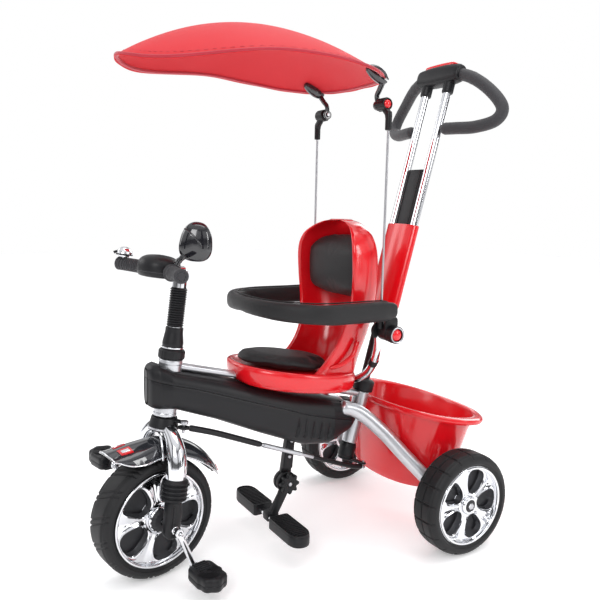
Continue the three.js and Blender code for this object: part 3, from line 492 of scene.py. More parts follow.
looks = {
    "chrome": {
        "colour": (0.83, 0.84, 0.86), "second": (0.74, 0.75, 0.78), "cloud": (9.0, 140.0),
               "rough": (0.03, 0.09),
        "grain": (260.0, 0.02), "scratch": (70.0, 0.74), "wear": 0.05, "shader": {"Metallic": 1.0},
    },
    "silver": {
        "colour": (0.62, 0.63, 0.65), "second": (0.5, 0.51, 0.54), "cloud": (14.0, 420.0),
               "rough": (0.24, 0.38),
        "grain": (1500.0, 0.06), "shader": {"Metallic": 0.85, "Coat Weight": 0.3, "Coat Roughness": 0.12},
    },
    "blackPlastic": {
        "colour": (0.005, 0.005, 0.006), "second": (0.01, 0.01, 0.012), "cloud": (10.0, 320.0),
                     "rough": (0.34, 0.48),
        "grain": (1300.0, 0.12), "wear": 0.05, "shader": {"Specular IOR Level": 0.3},
    },
    "blackGloss": {
        "colour": (0.006, 0.006, 0.008), "second": (0.014, 0.014, 0.018), "cloud": (8.0, 200.0),
                   "rough": (0.08, 0.17),
        "grain": (500.0, 0.03), "wear": 0.07, "shader": {"Coat Weight": 0.8, "Coat Roughness": 0.05},
    },
    "redPlastic": {
        "colour": (0.72, 0.006, 0.012), "second": (0.6, 0.004, 0.009), "cloud": (7.0, 180.0),
                   "rough": (0.13, 0.24),
        "grain": (600.0, 0.035), "wear": 0.07,
        "shader": {"Coat Weight": 0.4, "Coat Roughness": 0.08, "Subsurface Weight": 0.04,
                   "Subsurface Scale": 0.002},
    },
    "tyreBlack": {
        "colour": (0.007, 0.007, 0.008), "second": (0.014, 0.014, 0.015), "cloud": (16.0, 500.0),
                  "rough": (0.42, 0.66),
        "grain": (1700.0, 0.18), "wear": 0.08, "shader": {"Specular IOR Level": 0.3},
    },
    "padCloth": {
        "colour": (0.006, 0.006, 0.007), "second": (0.012, 0.011, 0.012), "cloud": (11.0, 300.0),
                 "rough": (0.42, 0.6),
        "weave": (420.0, 0.25), "shader": {"Sheen Weight": 0.05, "Sheen Roughness": 0.4,
                                           "Specular IOR Level": 0.35},
    },
    "foamGrip": {
        "colour": (0.014, 0.014, 0.017), "second": (0.028, 0.027, 0.031), "cloud": (18.0, 700.0),
                 "rough": (0.55, 0.75),
        "grain": (2300.0, 0.35), "shader": {"Sheen Weight": 0.15, "Sheen Roughness": 0.5},
    },
    "canopyRed": {
        "colour": (0.66, 0.012, 0.022), "second": (0.56, 0.008, 0.016), "cloud": (6.0, 260.0),
                  "rough": (0.6, 0.78),
        "weave": (620.0, 0.3),
        "shader": {"Sheen Weight": 0.12, "Sheen Roughness": 0.45, "Subsurface Weight": 0.1,
                   "Subsurface Scale": 0.004},
    },
    "bindingRed": {
        "colour": (0.5, 0.008, 0.03), "second": (0.4, 0.005, 0.022), "cloud": (20.0, 420.0),
                   "rough": (0.6, 0.75),
        "weave": (900.0, 0.4), "shader": {"Sheen Weight": 0.3, "Sheen Roughness": 0.5},
    },
    "smokedGloss": {
        "colour": (0.014, 0.015, 0.018), "second": (0.03, 0.032, 0.038), "cloud": (8.0, 160.0),
                    "rough": (0.07, 0.15),
        "grain": (420.0, 0.03), "wear": 0.06, "shader": {"Coat Weight": 0.9, "Coat Roughness": 0.04},
    },
    "reflector": {
        "colour": (0.75, 0.01, 0.015), "second": (0.5, 0.004, 0.01), "cloud": (30.0, 500.0),
                  "rough": (0.08, 0.18),
        "grain": (420.0, 0.9), "shader": {"Coat Weight": 1.0, "Coat Roughness": 0.03,
                                          "Emission Color": (0.5, 0, 0, 1)},
    },
    # Near-black: the real black hub caps, the bar pad seam band and the dark reflection cards, and painted
    # shade on the floors of the wheel windows.
    "darkRecess": {
        "colour": (0.008, 0.008, 0.01), "second": (0.02, 0.02, 0.024), "cloud": (14.0, 300.0),
                   "rough": (0.45, 0.65),
        "grain": (1200.0, 0.2),
    },
    "mirrorGlass": {
        "colour": (0.86, 0.88, 0.9), "second": (0.8, 0.82, 0.85), "cloud": (5.0, 60.0),
                    "rough": (0.015, 0.05),
        "grain": (90.0, 0.008), "shader": {"Metallic": 1.0},
    },
    "screwSteel": {
        "colour": (0.6, 0.6, 0.62), "second": (0.42, 0.42, 0.45), "cloud": (60.0, 900.0),
                   "rough": (0.22, 0.4),
        "grain": (2600.0, 0.12), "shader": {"Metallic": 1.0},
    },
}
mat = {name: makeMaterial(name, look) for name, look in looks.items()}
print("materials", len(mat))

# Camera: its place, and how far it is turned round the object, raised and rolled.
cameraSpot = {"place": (1.27399, -0.76278, 0.75916), "azimuth": 58.7, "elevation": 7.93, "roll": 1.28,
              "lens": 40.59}


def makeCamera():
    # The camera looks from its place along azimuth and elevation, and rolls about that line.
    azimuth, elevation, roll = (math.radians(cameraSpot[k]) for k in ("azimuth", "elevation", "roll"))
    back = Vector((math.sin(azimuth) * math.cos(elevation), -math.cos(azimuth) * math.cos(elevation),
                   math.sin(elevation)))
    level = Vector((math.cos(azimuth), math.sin(azimuth), 0))
    upright = back.cross(level)
    right = level * math.cos(roll) + upright * math.sin(roll)
    up = upright * math.cos(roll) - level * math.sin(roll)
    data = bpy.data.cameras.new("camera")
    data.sensor_width = 36
    data.lens = cameraSpot["lens"]
    camera = bpy.data.objects.new("camera", data)
    bpy.context.scene.collection.objects.link(camera)
    turn = Matrix((right, up, back)).transposed().to_4x4()
    camera.matrix_world = Matrix.Translation(cameraSpot["place"]) @ turn
    bpy.context.scene.camera = camera


makeCamera()

axleHeight = 114.5
# Wheels. The tread is a field over the angle round the wheel and the place across it.
rearWheel = {"radius": axleHeight, "width": 70, "rim": 89, "track": 238, "grooves": 18, "slant": 0.0,
             "hub": 20, "cap": 12.5}
frontWheel = {"radius": 126, "width": 72, "rim": 101, "track": 0, "grooves": 15, "slant": 0.32, "hub": 27,
              "cap": 14}


def tyreSkin(wheel, around=720):
    # Half of the outline is mirrored across the tread, and turned about the axle.
    half = wheel["width"] / 2
    bore = wheel["rim"] + 0.4
    outline = [(bore, half - 5), (bore + 5, half - 2.5), (wheel["radius"] - 18, half - 0.2),
               (wheel["radius"] - 10, half - 1),
               (wheel["radius"] - 3.2, half - 7), (wheel["radius"] - 0.6, half - 15),
               (wheel["radius"], half - 22)]
    side = smooth(outline, 30)
    middle = np.linspace(half - 22, -(half - 22), 22)[1:-1]
    tread = np.stack([np.full(20, float(wheel["radius"])), middle], -1)
    profile = np.vstack([side, tread, side[::-1] * (1, -1)])
    angle = np.linspace(0, 2 * np.pi, around, endpoint=False)[None]
    radius, across = profile[:, :1], profile[:, 1:]
    # The groove repeats round the wheel, leaning with its place across the tread.
    phase = angle * wheel["grooves"] / (2 * np.pi) + wheel["slant"] * np.abs(across) / half * np.sign(across)
    pitch = 2 * np.pi * wheel["radius"] / wheel["grooves"]
    away = [np.abs((phase + k) % 1 - 0.5) * pitch for k in ((0, 0.22) if wheel["slant"] else (0,))]
    cross = np.maximum.reduce([np.clip((2.6 - d) / 1.2, 0, 1) for d in away])
    onTread = np.clip((radius - (wheel["radius"] - 9)) / 2, 0, 1)
    band = np.clip((1.6 - np.abs(np.abs(across) - half + 12)) / 0.8, 0, 1)
    centre = np.clip((1.3 - np.abs(across)) / 0.7, 0, 1) * (0 if wheel["slant"] else 1)
    depth = 2.6 * onTread * np.maximum.reduce([cross, np.broadcast_to(band, cross.shape),
                                               np.broadcast_to(centre, cross.shape)])
    # Two raised rings run round each side wall.
    outOfRim = radius - wheel["rim"]
    wall = np.exp(-((outOfRim - 11) ** 2) / 1.2) + np.exp(-((outOfRim - 14) ** 2) / 0.8)
    depth = np.where(np.abs(across) > half - 6, depth - 0.45 * wall, depth)
    r = radius - depth
    rings = np.stack([np.broadcast_to(across, r.shape), r * np.cos(angle), r * np.sin(angle)], -1)
    return skin(rings, looped=True)


def spokeFace(wheel, out, floor):
    # Five spokes between five windows. Each window is a superellipse in radius and angle, with steep walls.
    inner, outer = wheel["hub"] + 1.0, wheel["rim"] - 5.0
    radius = np.concatenate([np.linspace(inner, inner + 8, 9), np.linspace(inner + 9, outer - 9, 26),
                             np.linspace(outer - 8, outer, 9)])
    low, high = inner + 4.5, outer - 3.0
    along = (2 * radius - low - high) / (high - low)
    inside = np.abs(along) < 1
    half = np.where(inside, (1 - np.abs(along) ** 3.2).clip(0) ** (1 / 2.6), 0)
    width = math.radians(23.0) * half * (1 - 0.10 * along) + 0.004
    depth = np.clip(half * 3, 0, 1)
    share = np.concatenate([np.linspace(-1, -0.9, 5), np.linspace(-0.86, 0.86, 9), np.linspace(0.9, 1, 5)])
    spoke = np.linspace(0, 1, 17)[1:-1]
    fifth = 2 * np.pi / 5
    windowAngle = share[None] * width[:, None]
    spokeAngle = width[:, None] + spoke[None] * (fifth - 2 * width[:, None])
    local = np.concatenate([windowAngle, spokeAngle], 1)
    # Windows drop to the floor; spokes carry a raised line at each edge and a hollow between.
    wallShare = np.clip((1 - np.abs(share)) / 0.1, 0, 1)
    drop = depth[:, None] * wallShare[None]
    windowHeight = out - (out - floor) * drop
    edgeLine = np.exp(-((np.minimum(spoke, 1 - spoke) - 0.12) ** 2) / 0.006)
    crown = 1.8 * edgeLine - 2.2 * np.exp(-((spoke - 0.5) ** 2) / 0.02)
    fade = np.clip(half * 1.4, 0, 1)[:, None]
    spokeHeight = out + crown[None] * fade
    height = np.concatenate([windowHeight, spokeHeight], 1)
    angles = np.concatenate([local + k * fifth for k in range(5)], 1)
    heights = np.tile(height, (1, 5))
    r = radius[:, None]
    rings = np.stack([heights, r * np.cos(angles), r * np.sin(angles)], -1)
    kinds = np.tile(np.concatenate([np.abs(share) < 0.93, np.zeros(15, bool)]), 5)
    # The deep floor of each window gets the second material, near-black painted shade.
    deep = (half > 0.34)[:, None] & kinds[None]
    points, faces = skin(rings, caps=False)
    runs = rings.shape[0] - 1
    paintedShade = deep[:runs, :] & deep[1:, :] & np.roll(deep, -1, 1)[:runs, :]
    mask = paintedShade.reshape(-1)
    chromeFaces = [f for f, m in zip(faces, mask) if not m]
    paintedShadeFaces = [f for f, m in zip(faces, mask) if m]
    return points, chromeFaces, paintedShadeFaces


def rimParts(wheel, hubOut):
    # For each side a spoked face, a lip and a hub cone, then the barrel and the hub tube.
    half = wheel["width"] / 2 - 3
    rim = wheel["rim"]
    parts = []
    for side in (1, -1):
        # The window floors of each spoked face take the second material, painted shade.
        points, bright, paintedShade = spokeFace(wheel, half - 8, 5)
        points = points * (side, 1, 1)
        parts += [((points, bright), 0), ((points, paintedShade), 1)]
        lip = rounded([(rim - 5, half - 8), (rim - 6.5, half - 2), (rim - 5.5, half + 1.2),
                       (rim - 1, half + 1.2), (rim, half - 3)], 1.6)
        parts.append((openLathe(lip * (1, side), 160, "x"), 0))
        cone = rounded([(wheel["hub"] + 1.2, half - 8), (wheel["hub"] + 0.5, hubOut - 5),
                        (wheel["hub"] - 2, hubOut - 1.5),
                        (wheel["cap"] + 1.5, hubOut - 1.0), (wheel["cap"] + 0.5, hubOut - 3),
                        (7.2, hubOut - 3)], 1.2)
        parts.append((openLathe(cone * (1, side), 96, "x"), 0))
    barrel = [(rim, half - 3), (rim, -(half - 3)), (rim - 4, -(half - 4)), (rim - 4, half - 4)]
    parts.append((lathe(barrel, 160, "x", looped=True), 0))
    parts.append((lathe([(7.2, -hubOut + 3), (7.2, hubOut - 3), (9, hubOut - 6), (9, -hubOut + 6)], 48, "x",
                        looped=True), 0))
    return parts


def buildWheels():
    for name, s in bothSides:
        side = name.lower()
        offset = (s * rearWheel["track"], 0, rearWheel["radius"])
        emit("rearTyre" + name, [moved(tyreSkin(rearWheel), offset)], "rear_tyre_" + side, "tyreBlack",
             "rear_wheel_" + side, sharp=50)
        parts = [(moved(shape, offset), kind) for shape, kind in rimParts(rearWheel, 33)]
        cap = rounded([(6, -4), (rearWheel["cap"], -4), (rearWheel["cap"], 1), (rearWheel["cap"] - 3, 2.6),
                       (5.6, 2.6), (5.6, -4)], 1.0)
        parts.append((lathe(cap * (1, s), 64, "x", (offset[0] + s * 31, offset[1], offset[2]), looped=True),
                      1))
        # The second material is the real black hub cap and painted shade on the spoke window floors.
        emit("rearRim" + name, parts, "rear_rim_" + side, "chrome darkRecess", "rear_wheel_" + side, sharp=40)
    emit("frontTyre", [tyreSkin(frontWheel)], "front_tyre", "tyreBlack", "front_wheel", "steer", sharp=50)
    parts = rimParts(frontWheel, 36)
    fins = rounded([(7.4, -10), (25.5, -10), (25.5, 0), (20, 8), (8, 9.5), (7.4, 9.5)], 2.0)
    for s in (1, -1):
        cover = openLathe(fins * (1, s), 192, "x", (s * 33, 0, 0),
                          wave=lambda a: 1 + 0.025 * np.sign(np.sin(16 * a)))
        parts.append((cover, 1))
    # The second material is the real black hub covers and painted shade on the spoke window floors.
    emit("frontRim", parts, "front_rim", "chrome darkRecess", "front_wheel", "steer", sharp=40)
    axle = [straight((-262, 0, axleHeight), (262, 0, axleHeight), 5, bevel=0.8)]
    nut = rounded([(5, 0), (9.5, 0), (9.5, 7), (6.5, 11.5), (0.2, 12)], 1.0)
    for s in (1, -1):
        axle.append(openLathe(nut * (1, s), 6, "x", (s * 262, 0, axleHeight)))
        axle.append(openLathe(np.array([(5, 0), (11, 0), (11, 1.6), (5, 1.6)]) * (1, s), 48, "x",
                              (s * 260, 0, axleHeight)))
    emit("rearAxle", axle, "rear_axle", "screwSteel", sharp=30)
    print("wheels")


crank = {"length": 88, "back": 44.6, "down": 76.1, "offset": 101, "end": 180}


def buildCranks():
    parts = [straight((-crank["offset"], 0, 0), (crank["offset"], 0, 0), 6, bevel=0.8)]
    for s in (1, -1):
        x, y, z = s * crank["offset"], s * crank["back"], -s * crank["down"]
        bend = smooth([(s * 60, 0, 0), (s * 90, 0, 0), (x, y * 0.1, z * 0.1), (x, y * 0.5, z * 0.5),
                       (x, y * 0.92, z * 0.92),
                       (s * 106, y, z), (s * 120, y, z)], 90)
        parts.append(tube(bend, 6.2, 28))
        parts.append(straight((s * 104, y, z), (s * crank["end"], y, z), 5, bevel=0.6))
        parts.append(openLathe(np.array([(5, -5), (9, -5), (10, -2), (10, 3), (8, 5), (5, 5)]) * (1, s), 6,
                               "x", (x, 0, 0)))
        parts.append(turned([(5, -7), (8.5, -7), (9, -3), (9, 4), (5, 5)], 1.2, 48, "x", (s * 104, y, z),
                            side=s))
    emit("cranks", parts, "front_axle", "chrome", "front_wheel", "steer", sharp=35)
    # The pedal is a lobed block with a chamfered edge, and a ribbed round recess on each face.
    for name, s in bothSides:
        base = np.array([(-36, -26), (18, -28), (38, -16), (42, 4), (34, 24), (4, 29), (-36, 26)], float)
        outline = rounded(base, 12, 22, closed=True)
        turn = np.arctan2(outline[:, 1], outline[:, 0])
        lobe = 1 + 0.045 * np.cos(9 * turn) * np.clip((outline[:, 0] + 20) / 20, 0, 1)
        outline = outline * lobe[:, None]
        levels = [(-13.6, 0.9), (-12, 0.96), (-8, 1.0), (-1.2, 1.0), (0, 0.975), (1.2, 1.0), (8, 1.0),
                  (12, 0.96), (13.6, 0.9)]
        rings = [np.column_stack([outline * k, np.full(len(outline), z)]) for z, k in levels]
        shape = skin(rings)
        ribs = []
        for face in (1, -1):
            for k in range(6):
                r = 6 + 3 * k
                ring = [(r, 13.4 * face), (r, 15 * face), (r + 1.3, 15 * face), (r + 1.3, 13.4 * face)]
                ribs.append(moved(lathe(ring, 48, "z", looped=True), (6, 0, 0)))
            for k in range(5):
                ribs.append(block((5, 30, 2.2), (-32 + 6.5 * k, 0, 14.0 * face), 0.8))
        body = [moved(p, turnX=7, mirror=s < 0) for p in [shape, *ribs]]
        offset = (s * 150, s * crank["back"], -s * crank["down"])
        cap = np.array([(5.2, 0), (9, 0), (9, 2.5), (7, 4)]) * (1, -s)
        caps = [openLathe(cap, 40, "x", (s * 114, offset[1], offset[2]))]
        emit("pedal" + name, [moved(p, offset) for p in body] + caps, "pedal_" + name.lower(),
             "blackPlastic", "pedal_" + name.lower(), "steer", sharp=35)
    print("cranks")


def buildFork():
    shroud = smooth([(67, 0, 99, 20), (67, 0, 112, 20.5), (65.5, 0, 126, 20), (61, 0, 142, 19),
                     (52, 0, 158, 17.5), (36, 0, 174, 15.5),
                     (16, 0, 184, 14.5), (0, 0, 187, 14.5)], 70)
    whole = np.vstack([shroud, (shroud * (-1, 1, 1, 1))[::-1][1:]])
    parts = [tube(whole[:, :3], whole[:, 3], 40, up=(0, 1, 0)), straight((0, 0, 188), (0, 0, 484), 14.2, 40)]
    strip = smooth([(44, -18, 128), (38, -20, 152), (24, -19, 172), (0, -18, 181), (-24, -19, 172),
                    (-38, -20, 152), (-44, -18, 128)], 60)
    parts.append(tube(strip, 2.4, 16))
    emit("forkCrown", parts, "fork_crown", "chrome", "fork", "steer")
    cone = rounded([(14.6, 179), (30, 179), (31, 182), (30, 187), (26, 206), (14.6, 207)], 2.0)
    ring = rounded([(30.2, 181), (31.8, 182), (31.8, 184.5), (29.8, 186)], 0.6)
    reach = math.hypot(34, 30)
    away = math.atan2(30, 34) - math.radians(9.84)
    pin = (reach * math.cos(away), reach * math.sin(away), 0)
    lever = tube([(22 * math.cos(away), 22 * math.sin(away), 201), (pin[0], pin[1], 201)], 7.5, 24,
                 flat=0.42, exponent=3)
    parts = [(openLathe(cone, 72), 0), (openLathe(ring, 72), 1), (lever, 0)]
    parts.append((turned([(0.1, 204.6), (8, 204.6), (8.5, 201), (8, 198), (3, 198), (3, 180), (0.1, 179)],
                         0.8, 40, "z", pin), 1))
    emit("forkCone", parts, "fork_cone", "blackPlastic screwSteel", "fork", "steer")
    for name, s in bothSides:
        boot = [(15, 99), (21, 99)]
        for k in range(5):
            top = 97 - 8.4 * k
            boot += [(22, top), (25.8, top - 2.6), (25.8, top - 4.6), (22, top - 7.2)]
        boot += [(17, 53), (10, 53)]
        leg = smooth([(56, 14.5, 14.5, 68), (44, 15, 16, 69.5), (24, 14.4, 17, 71.5), (4, 13.4, 17, 72),
                      (-12, 12.6, 15.5, 72), (-19, 11, 11, 72),
                      (-22, 8, 5, 72)], 40)
        c, n = oval(40, 3.0)
        rings = [np.column_stack([s * (x + w * c), d * n, np.full(40, z)]) for z, w, d, x in leg]
        shape = [(openLathe(rounded(boot, 1.1, 3), 72, "z", (s * 68, 0, 0)), 0), (skin(rings), 0)]
        bolt = rounded([(0.1, 4.4), (6, 4.4), (8.6, 3), (8.6, -2)], 0.8)
        shape.append((openLathe(bolt * (1, s), 6, "x", (s * 85, 0, 0)), 1))
        groove = tube(smooth([(s * 84, -6, 46), (s * 86.4, -6, 20), (s * 85.6, -5, -8)], 20), 1.6, 12)
        shape.append((groove, 0))
        emit("forkLeg" + name, shape, "fork_leg_" + name.lower(), "blackPlastic chrome", "fork", "steer")
    print("fork")


fenderTable = {
    "ridge": [(-42, 186), (-36, 178), (-30, 172), (-22, 167.5), (-16, 165), (0, 163.6), (20, 163), (40, 163),
              (64, 163)],
    "edge": [(-42, 180), (-36, 150), (-28, 136), (-22, 131), (-9, 129), (0, 133), (9, 133), (17, 131),
             (34, 134), (54, 146), (64, 158)],
    "half": [(-42, 30), (-34, 41), (-22, 42), (-10, 37), (0, 34), (10, 35.5), (25, 36.5), (40, 36), (56, 24),
             (64, 10)],
}


def fenderPoint(deg, across, inset=0.0):
    # across runs from -1 at one lower edge over the ridge to 1 at the other.
    ridge, edge, half = (np.interp(deg, *zip(*fenderTable[k])) for k in ("ridge", "edge", "half"))
    a = np.radians(deg)
    r = edge + (ridge - inset - edge) * (1 - across**2).clip(0) ** 0.6
    x = (half - inset) * across * (1.12 - 0.12 * across**2)
    return np.stack(np.broadcast_arrays(x, r * np.sin(a), r * np.cos(a)), -1)


def fenderPlate(degrees, across, lift, runs, count):
    # A thin plate on the fender's face, between two angles and two places across it.
    rows = np.linspace(*degrees, runs)[:, None]
    columns = np.linspace(*across, count)[None]
    over = fenderPoint(rows, columns, -lift)
    under = fenderPoint(rows, columns, 0.4)[:, ::-1]
    return skin(np.concatenate([over, under], 1))


def buildFender():
    degrees = np.linspace(-42, 64, 130)[:, None]
    kernel = np.ones(7) / 7
    for key in fenderTable:
        fine = np.linspace(-42, 64, 107)
        table = np.interp(fine, *zip(*fenderTable[key]))
        padded = np.pad(table, 3, mode="edge")
        fenderTable[key] = list(zip(fine.tolist(), np.convolve(padded, kernel, "valid").tolist()))
    across = np.sin(np.linspace(-np.pi / 2, np.pi / 2, 49))[None]
    outer = fenderPoint(degrees, across)
    inner = fenderPoint(degrees, across, 2.2)[:, ::-1]
    rings = np.concatenate([outer, inner], 1)
    parts = [(skin(rings, caps=False), 0)]
    for end in (0, -1):
        strip = np.stack([outer[end], inner[end][::-1]])
        parts.append((skin(strip, closed=False, caps=False), 0))
    for s in (1, -1):
        edge = fenderPoint(np.linspace(-41.5, 62, 160), np.full(160, s * 0.995))
        parts.append((tube(edge + (s * 0.6, 0, 0), 1.7, 12), 1))
        parts.append((fenderPlate((-35, -27), (s * 0.16, s * 0.56), 1.6, 12, 10), 2))
        parts.append((fenderPlate((-33.5, -28.5), (s * 0.28, s * 0.44), 2.4, 8, 8), 1))
    parts.append((fenderPlate((56, 62), (-0.45, 0.45), 1.6, 8, 12), 2))
    nose = fenderPoint(np.full(40, -41.2), np.sin(np.linspace(-np.pi / 2, np.pi / 2, 40)))
    parts.append((tube(nose, 1.7, 12), 1))
    emit("fender", parts, "fender", "smokedGloss chrome reflector", "fork", "steer", sharp=50)
    print("fender")


def buildStem():
    emit("locknut", [openLathe(rounded([(15, 324.4), (24, 324.4), (26.5, 327), (26.5, 341), (23, 345),
                                        (15, 345.5)], 1.2), 96, "z",
                               wave=lambda a: 1 + 0.012 * np.sign(np.sin(24 * a)))], "locknut",
         "blackPlastic", place="head")
    collar = rounded([(14.8, 349), (20, 349), (21.4, 354), (21, 360), (18, 379), (18, 388.6), (14.8, 389)],
                     2.0)
    ring = rounded([(20, 346.6), (22.4, 346.6), (22.4, 349.4), (20, 349.6)], 0.5)
    emit("stemCollar", [(openLathe(collar, 80), 0), (openLathe(ring, 80), 1)], "stem_collar",
         "blackPlastic chrome", "fork", "steer")
    ribs = [(14.8, 389.8)]
    for k in range(16):
        z = 391 + 4.8 * k
        ribs += [(15.0, z), (17.2, z + 1.5), (17.2, z + 2.9), (15.0, z + 4.3)]
    ribs += [(14.8, 469)]
    emit("stemSleeve", [openLathe(rounded(ribs, 0.7, 3), 72)], "stem_sleeve", "blackPlastic", "fork",
         "steer", sharp=60)
    half = [(30, -50), (60, -53), (96, -63), (125, -74.4)]
    path = smooth([(-x, y, 500) for x, y in half[::-1]] + [(x, y, 500) for x, y in half], 90)
    parts = [tube(path, 9, 32), tube([(0, 5, 500), (0, -20, 500), (0, -50, 500)], 12, 32),
             straight((0, 0, 486), (0, 0, 506), 14.3, 32, bevel=2)]
    emit("handlebar", parts, "handlebar", "chrome", "fork", "steer")
    for name, s in bothSides:
        grip = smooth([(50, -51.7), (72, -56), (96, -63), (125.5, -74.6)], 120)
        t = np.linspace(0, 1, 120)
        radius = 12.9 + 0.7 * np.sign(np.sin(2 * np.pi * 14 * t)) * (np.abs(t - 0.52) < 0.4)
        radius = radius + bump(t, 0.02, 0.035, 4.4) + bump(t, 0.95, 0.03, 1.0)
        points = np.column_stack([s * grip[:, 0], grip[:, 1], np.full(120, 500.0)])
        emit("grip" + name, [tube(points, radius, 40, roundEnds=5)], "grip_" + name.lower(), "foamGrip",
             "fork", "steer", sharp=50)
    dome = smooth([(486, 30), (488, 37), (496, 40.6), (505, 41.4), (514, 40), (522, 34.5), (527.6, 24),
                   (530, 8), (530.2, 0.5)], 36)
    c, n = oval(64, 2.1)
    rings = [np.column_stack([1.04 * r * c, -50 + r * n, np.full(64, z)]) for z, r in dome]
    seam = np.column_stack([1.055 * 40.6 * c, -50 + 1.015 * 40.6 * n, np.full(64, 497.0)])
    band = tube(np.vstack([seam, seam[:1]]), 1.1, 10)
    emit("barPad", [(skin(rings), 0), (band, 1)], "bar_pad", "blackPlastic darkRecess", "fork", "steer",
         sharp=45)
    bell = rounded([(0.2, 17), (6, 16.4), (11, 13.5), (15, 7.5), (16, 3), (16, 0), (12, -0.6), (12, -4),
                    (5, -4), (5, -6)], 1.6)
    blackRing = rounded([(13.5, -0.4), (17, -0.4), (17, 1.8), (15.6, 2.2)], 0.5)
    emit("bell", [(openLathe(bell, 72, "z", (-112, -69, 518)), 0),
                  (openLathe(blackRing, 72, "z", (-112, -69, 518)), 1),
                  (tube([(-112, -69, 530), (-118, -84, 524), (-120, -89, 521)], (2, 2.4, 3), 14), 1)],
         "bell", "chrome blackPlastic", "fork", "steer")
    head = []
    for depth, scale in smooth([(0, 0.93), (0.6, 0.985), (3, 1), (7, 0.95), (12, 0.8), (16, 0.55),
                                (18.4, 0.2), (18.6, 0.02)], 32):
        c, n = oval(64, 2.5)
        head.append(np.column_stack([31 * scale * (1 - 0.16 * n) * c, np.full(64, -depth), 38 * scale * n]))
    c, n = oval(64, 2.5)
    glass = [np.column_stack([31 * k * (1 - 0.16 * n) * c, np.full(64, y), 38 * k * n])
             for k, y in ((0.9, -1), (0.9, 0.5), (0.86, 0.9))]
    ridge = smooth([(-24, -8, 22), (-6, -17.5, 12), (10, -17, -4), (20, -9, -22)], 40)
    place = (62, -12, 564)
    parts = [(moved(skin(head), place, turnZ=52), 0), (moved(skin(glass), place, turnZ=52), 1),
             (moved(tube(ridge, 1.8, 12), place, turnZ=52), 0)]
    stalk = smooth([(44, -38, 515), (46, -36, 523), (55, -30, 536), (60, -27, 548)], 30)
    parts.append((tube(stalk, np.linspace(6.4, 4.6, 30) + 0.7 * np.sin(np.linspace(0, 12 * np.pi,
        30)).clip(0), 24), 0))
    emit("mirror", parts, "mirror", "blackGloss mirrorGlass", "mirror", "steer",
         sharp=45)
    print("stem")


# Frame, cover and rear arms.
mainPath = [(0, -580, 380), (0, -470, 345), (0, -300, 292), (0, -118, 268)]
armPath = [(36, -196, 304), (50, -150, 288), (82, -103, 243), (122, -68, 193), (168, -34, 144),
           (196, -14, 116)]


def buildFrame():
    head = turned([(15.2, 208), (23, 208), (24.2, 210), (24.2, 214), (23.4, 216), (23.4, 314), (24.2, 316),
                   (24.2, 322),
                              (23, 324), (15.2, 324)], 0.8, 72)
    rear = turned([(12.6, -140), (17, -140), (18, -138), (18, -16), (17, -14), (12.6, -14)], 1.0, 72)
    rail = tube(smooth([(0, -570, 431), (0, -420, 393.6), (0, -270, 356.2), (0, -125, 319)], 40), 11.5, 32,
                flat=0.62, exponent=3.2)
    parts = [placedIn(head, "head"), placedIn(rear, "post"), tube(smooth(mainPath, 50), 17, 32), rail]
    emit("mainFrame", parts, "main_frame", "silver")
    for name, s in bothSides:
        path = smooth([(s * x, y, z) for x, y, z in armPath], 70)
        boss = rounded([(5.6, -12), (14, -12), (15, -11), (15, 11), (14, 12), (5.6, 12)], 1.0)
        emit("rearArm" + name, [tube(path, 16.5, 40, roundEnds=4),
                                openLathe(boss, 56, "x", (s * 188, 0, axleHeight))],
             "rear_arm_" + name.lower(), "silver")
    print("frame")


coverTable = {
    "top": [(-640, 434), (-632, 441), (-622, 443), (-590, 428), (-483, 400), (-343, 357), (-222, 325),
            (-160, 306), (-138, 290)],
    "bottom": [(-640, 360), (-632, 354), (-620, 351), (-590, 349), (-575, 343), (-502, 316), (-400, 271),
               (-334, 244), (-290, 226),
               (-227, 219), (-169, 238), (-138, 258)],
    "half": [(-641, 10), (-636, 26), (-622, 39), (-600, 45), (-500, 51), (-343, 60), (-222, 58), (-160, 42),
             (-138, 24)],
    "seam": [(-641, 415), (-548, 390), (-426, 349), (-341, 321), (-290, 303), (-138, 262)],
}
slotPlaces = [(-318 + 20.5 * k, 272 - 5 * k) for k in range(5)]


def coverArc(y, upper, inset, count):
    # One half of the cover's outline at y, from the seam on one side to the seam on the other.
    low, high, half, seam = (np.interp(y, *zip(*coverTable[k])) for k in ("bottom", "top", "half", "seam"))
    low, high, half = low + inset, high - inset, half - inset
    seam = seam + (0.5 if upper else -0.5)
    middle, rise = (low + high) / 2, (high - low) / 2
    share = np.clip((seam - middle) / rise, -0.96, 0.96)
    start = np.arcsin(np.abs(share) ** (3.4 / 2)) * np.sign(share)
    a = np.linspace(start, np.pi - start, count) if upper else np.linspace(np.pi - start, 2 * np.pi + start,
        count)
    c, s = np.cos(a), np.sin(a)
    power = 2 / 3.4
    return np.column_stack([half * np.sign(c) * np.abs(c) ** power, np.full(count, float(y)),
                            middle + rise * np.sign(s) * np.abs(s) ** power])


